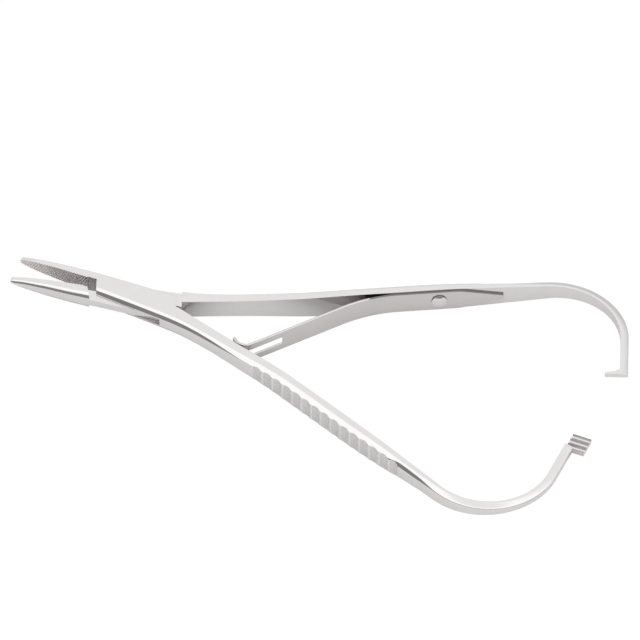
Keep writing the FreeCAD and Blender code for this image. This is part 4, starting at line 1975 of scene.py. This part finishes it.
@dataclass(frozen=True)
class Studio:
    """Camera, floor, lamp and the white tent round the object.

    Attributes:
        azimuth_deg: way the camera looks, from +Y towards -X.
        elevation_deg: how far the camera stands above the horizon.
        aim: point of the object at the picture's centre.
        distance: from the aim to the camera.
        frame_width: how much of the object's plane the picture is wide.
        clip_start: nearest distance that the camera sees.
        clip_reach: farthest one, as a multiple of the distance to the aim.
        floor_size: side of the floor.
        floor_tone: how light the floor is to the object.
        floor_glow: how bright it is to the camera where it takes no light.
        floor_lift: share of that in what the camera sees.
        tent_far: brightness of the tent's side away from the camera.
        tent_near: brightness of its side behind the camera.
        tent_turn: where one goes over into the other, towards the camera.
        zenith_from: heights on the tent over which its top gets duller.
        zenith_level: how bright the top is left.
        dark_level: brightness low behind the camera.
        dark_top: heights over which that ends.
        dark_near: where it starts, towards the camera.
        foot_level: brightness of the tent's foot elsewhere.
        foot_top: heights over which that ends.
        lamp_size: height of the soft box.
        lamp_shape: its width as a multiple of its height.
        lamp_distance: from the aim.
        lamp_tilt_deg: how far it leans from overhead to the camera's side.
        lamp_power: in watts.
    """

    azimuth_deg: float = 19.67
    elevation_deg: float = 46.1
    aim: Vector = Vector((0.0401, 0.0099, 0.0009))
    distance: float = 3.36
    frame_width: float = 0.1463
    clip_start: float = 0.01
    clip_reach: float = 4.0
    floor_size: float = 3.0
    floor_tone: float = 0.61
    floor_glow: float = 1.06
    floor_lift: float = 0.9
    tent_far: float = 0.98
    tent_near: float = 1.25
    tent_turn: tuple[float, float] = (-0.5, -0.1)
    zenith_from: tuple[float, float] = (0.94, 0.99)
    zenith_level: float = 0.8
    dark_level: float = 0.19
    dark_top: tuple[float, float] = (0.24, 0.34)
    dark_near: tuple[float, float] = (-0.1, 0.2)
    foot_level: float = 0.72
    foot_top: tuple[float, float] = (0.3, 0.64)
    lamp_size: float = 0.75
    lamp_shape: float = 1.4
    lamp_distance: float = 0.6
    lamp_tilt_deg: float = 41.0
    lamp_power: float = 2.4

    def build(self, floor_height: float) -> None:
        """Set everything up round the object.

        Args:
            floor_height: height of the object's lowest point.
        """
        self._camera()
        self._world()
        self._floor(floor_height)
        self._lamp()

    def _towards_camera(self, elevation_deg: float) -> Vector:
        """Unit vector from the object towards the camera's side, at an elevation."""
        turn, rise = math.radians(self.azimuth_deg), math.radians(elevation_deg)
        return Vector((math.sin(turn) * math.cos(rise), -math.cos(turn) * math.cos(rise), math.sin(rise)))

    def _camera(self) -> None:
        """A long lens at the photograph's angle."""
        data = bpy.data.cameras.new("camera")
        data.lens = self.distance / self.frame_width * data.sensor_width
        data.clip_start, data.clip_end = self.clip_start, self.clip_reach * self.distance
        camera = bpy.data.objects.new("camera", data)
        back = self._towards_camera(self.elevation_deg)
        camera.location = self.aim + back * self.distance
        camera.rotation_euler = (-back).to_track_quat("-Z", "Y").to_euler()
        bpy.context.scene.collection.objects.link(camera)
        bpy.context.scene.camera = camera

    def _world(self) -> None:
        """A white tent that the object is lit by and mirrors. The camera itself sees plain white."""
        world = bpy.data.worlds.new("tent")
        world.use_nodes = True
        bpy.context.scene.world = world
        tree = world.node_tree
        sky = tree.nodes["Background"]
        sky.inputs["Color"].default_value = (1, 1, 1, 1)
        tree.links.new(self._tent_level(tree), sky.inputs["Strength"])
        white = tree.nodes.new("ShaderNodeBackground")
        white.inputs["Color"].default_value = (1, 1, 1, 1)
        seen = tree.nodes.new("ShaderNodeLightPath").outputs["Is Camera Ray"]
        self._choose(tree, seen, sky, white, tree.nodes["World Output"])

    def _tent_level(self, tree: bpy.types.NodeTree) -> bpy.types.NodeSocket:
        """Shade the tent: lighter behind the camera but dark low down there, and duller at foot and top.

        Args:
            tree: the world's node tree.

        Returns:
            The tent's brightness in each direction.
        """
        nodes, links = tree.nodes, tree.links
        place = nodes.new("ShaderNodeTexCoord").outputs["Generated"]
        parts = nodes.new("ShaderNodeSeparateXYZ")
        links.new(place, parts.inputs[0])
        height = parts.outputs["Z"]
        side = nodes.new("ShaderNodeVectorMath")
        side.operation = "DOT_PRODUCT"
        links.new(place, side.inputs[0])
        side.inputs[1].default_value = self._towards_camera(0)
        nearness = side.outputs["Value"]
        sheet = remap(tree, nearness, self.tent_turn, (self.tent_far, self.tent_near), Fade.SOFT)
        zenith = remap(tree, height, self.zenith_from, (1.0, self.zenith_level), Fade.SOFT)
        near = remap(tree, nearness, self.dark_near, (0.0, 1.0), Fade.SOFT)
        foot = remap(tree, height, self.foot_top, (self.foot_level, 1.0), Fade.SOFT)
        dark = remap(tree, height, self.dark_top, (self.dark_level, 1.0), Fade.SOFT)
        shade = nodes.new("ShaderNodeMix")
        for value, name in ((near, "Factor"), (foot, "A"), (dark, "B")):
            links.new(value, shade.inputs[name])
        return product(tree, product(tree, sheet, shade.outputs["Result"]), zenith)

    @staticmethod
    def _choose(
        tree: bpy.types.NodeTree,
        share: bpy.types.NodeSocket,
        lit: bpy.types.Node,
        seen: bpy.types.Node,
        output: bpy.types.Node,
    ) -> None:
        """End a tree in one shader for the light and another for the camera.

        Args:
            tree: the material's or the world's node tree.
            share: how much of the camera's shader shows.
            lit: the shader for the light.
            seen: the shader for the camera.
            output: the tree's output.
        """
        choose = tree.nodes.new("ShaderNodeMixShader")
        tree.links.new(share, choose.inputs["Fac"])
        tree.links.new(lit.outputs[0], choose.inputs[1])
        tree.links.new(seen.outputs[0], choose.inputs[2])
        tree.links.new(choose.outputs[0], output.inputs["Surface"])

    def _floor(self, height: float) -> None:
        """Lay a pale floor that keeps a faint shadow and runs out to white.

        Args:
            height: where it lies.
        """
        half = self.floor_size / 2
        mesh = bmesh.new()
        corners = [(-half, -half), (half, -half), (half, half), (-half, half)]
        mesh.faces.new([mesh.verts.new((x, y, height)) for x, y in corners])
        data = bpy.data.meshes.new("floor")
        mesh.to_mesh(data)
        mesh.free()
        floor = bpy.data.objects.new("floor", data)
        bpy.context.scene.collection.objects.link(floor)
        material = bpy.data.materials.new("pale_floor")
        material.use_nodes = True
        tree = material.node_tree
        tree.nodes.remove(tree.nodes["Principled BSDF"])
        paint = tree.nodes.new("ShaderNodeBsdfDiffuse")
        paint.inputs["Color"].default_value = (self.floor_tone,) * 3 + (1,)
        white = tree.nodes.new("ShaderNodeEmission")
        white.inputs["Strength"].default_value = self.floor_glow
        seen = tree.nodes.new("ShaderNodeLightPath").outputs["Is Camera Ray"]
        lifted = product(tree, seen, self.floor_lift)
        self._choose(tree, lifted, paint, white, tree.nodes["Material Output"])
        floor.data.materials.append(material)
        floor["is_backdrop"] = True

    def _lamp(self) -> None:
        """A large soft box overhead, leaning to the camera's side."""
        data = bpy.data.lights.new("softbox", "AREA")
        data.shape = "RECTANGLE"
        data.size, data.size_y = self.lamp_shape * self.lamp_size, self.lamp_size
        data.energy = self.lamp_power
        lamp = bpy.data.objects.new("softbox", data)
        back = self._towards_camera(90 - self.lamp_tilt_deg)
        lamp.location = self.aim + back * self.lamp_distance
        lamp.rotation_euler = back.to_track_quat("Z", "Y").to_euler()
        lamp.visible_camera = lamp.visible_glossy = False
        bpy.context.scene.collection.objects.link(lamp)


def main() -> None:
    """Build every piece in order, then the studio."""
    logging.basicConfig(level=logging.INFO, format="%(message)s")
    bpy.context.scene.view_settings.view_transform = "Standard"
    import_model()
    # The dark finish paints shade on the spring's seated edges and the rivet's rim.
    polished, painted_shade = POLISHED.material(), PAINTED_SHADE_EDGE.material()
    shared = {
        "steel": polished,
        "grip_steel": GROUND.material(),
        "hatch_steel": HATCHED.material(),
        "rough_shaded_steel": ROUGH_SHADED.material(),
        "rounds": path_tree(),
        "bars": groove_tree(),
    }
    plate_arm = BoxArm("box_arm_forging", "box_arm", BOX_SIDE, Side.NEAR, PLATE_END, **shared)
    hook_arm = TongueArm("tongue_arm_forging", "tongue_arm", TONGUE_SIDE, Side.FAR, HOOK_END, **shared)
    pieces = [plate_arm.build(), hook_arm.build(), PivotPin(plate_arm.joint).build(polished)]
    leaf = LeafSpring(hook_arm, plate_arm)
    spring = SPRING.material()
    pieces += [leaf.build_leaf(spring, painted_shade), leaf.build_rivet(polished, painted_shade), leaf.build_peg(spring)]
    for piece in pieces:
        LOG.info("%s: %d faces", piece.name, len(piece.data.polygons))
    low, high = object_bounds()
    Studio().build(low.z)
    LOG.info("size %s", [round(high[axis] - low[axis], 5) for axis in range(3)])


if __name__ == "__main__":
    main()
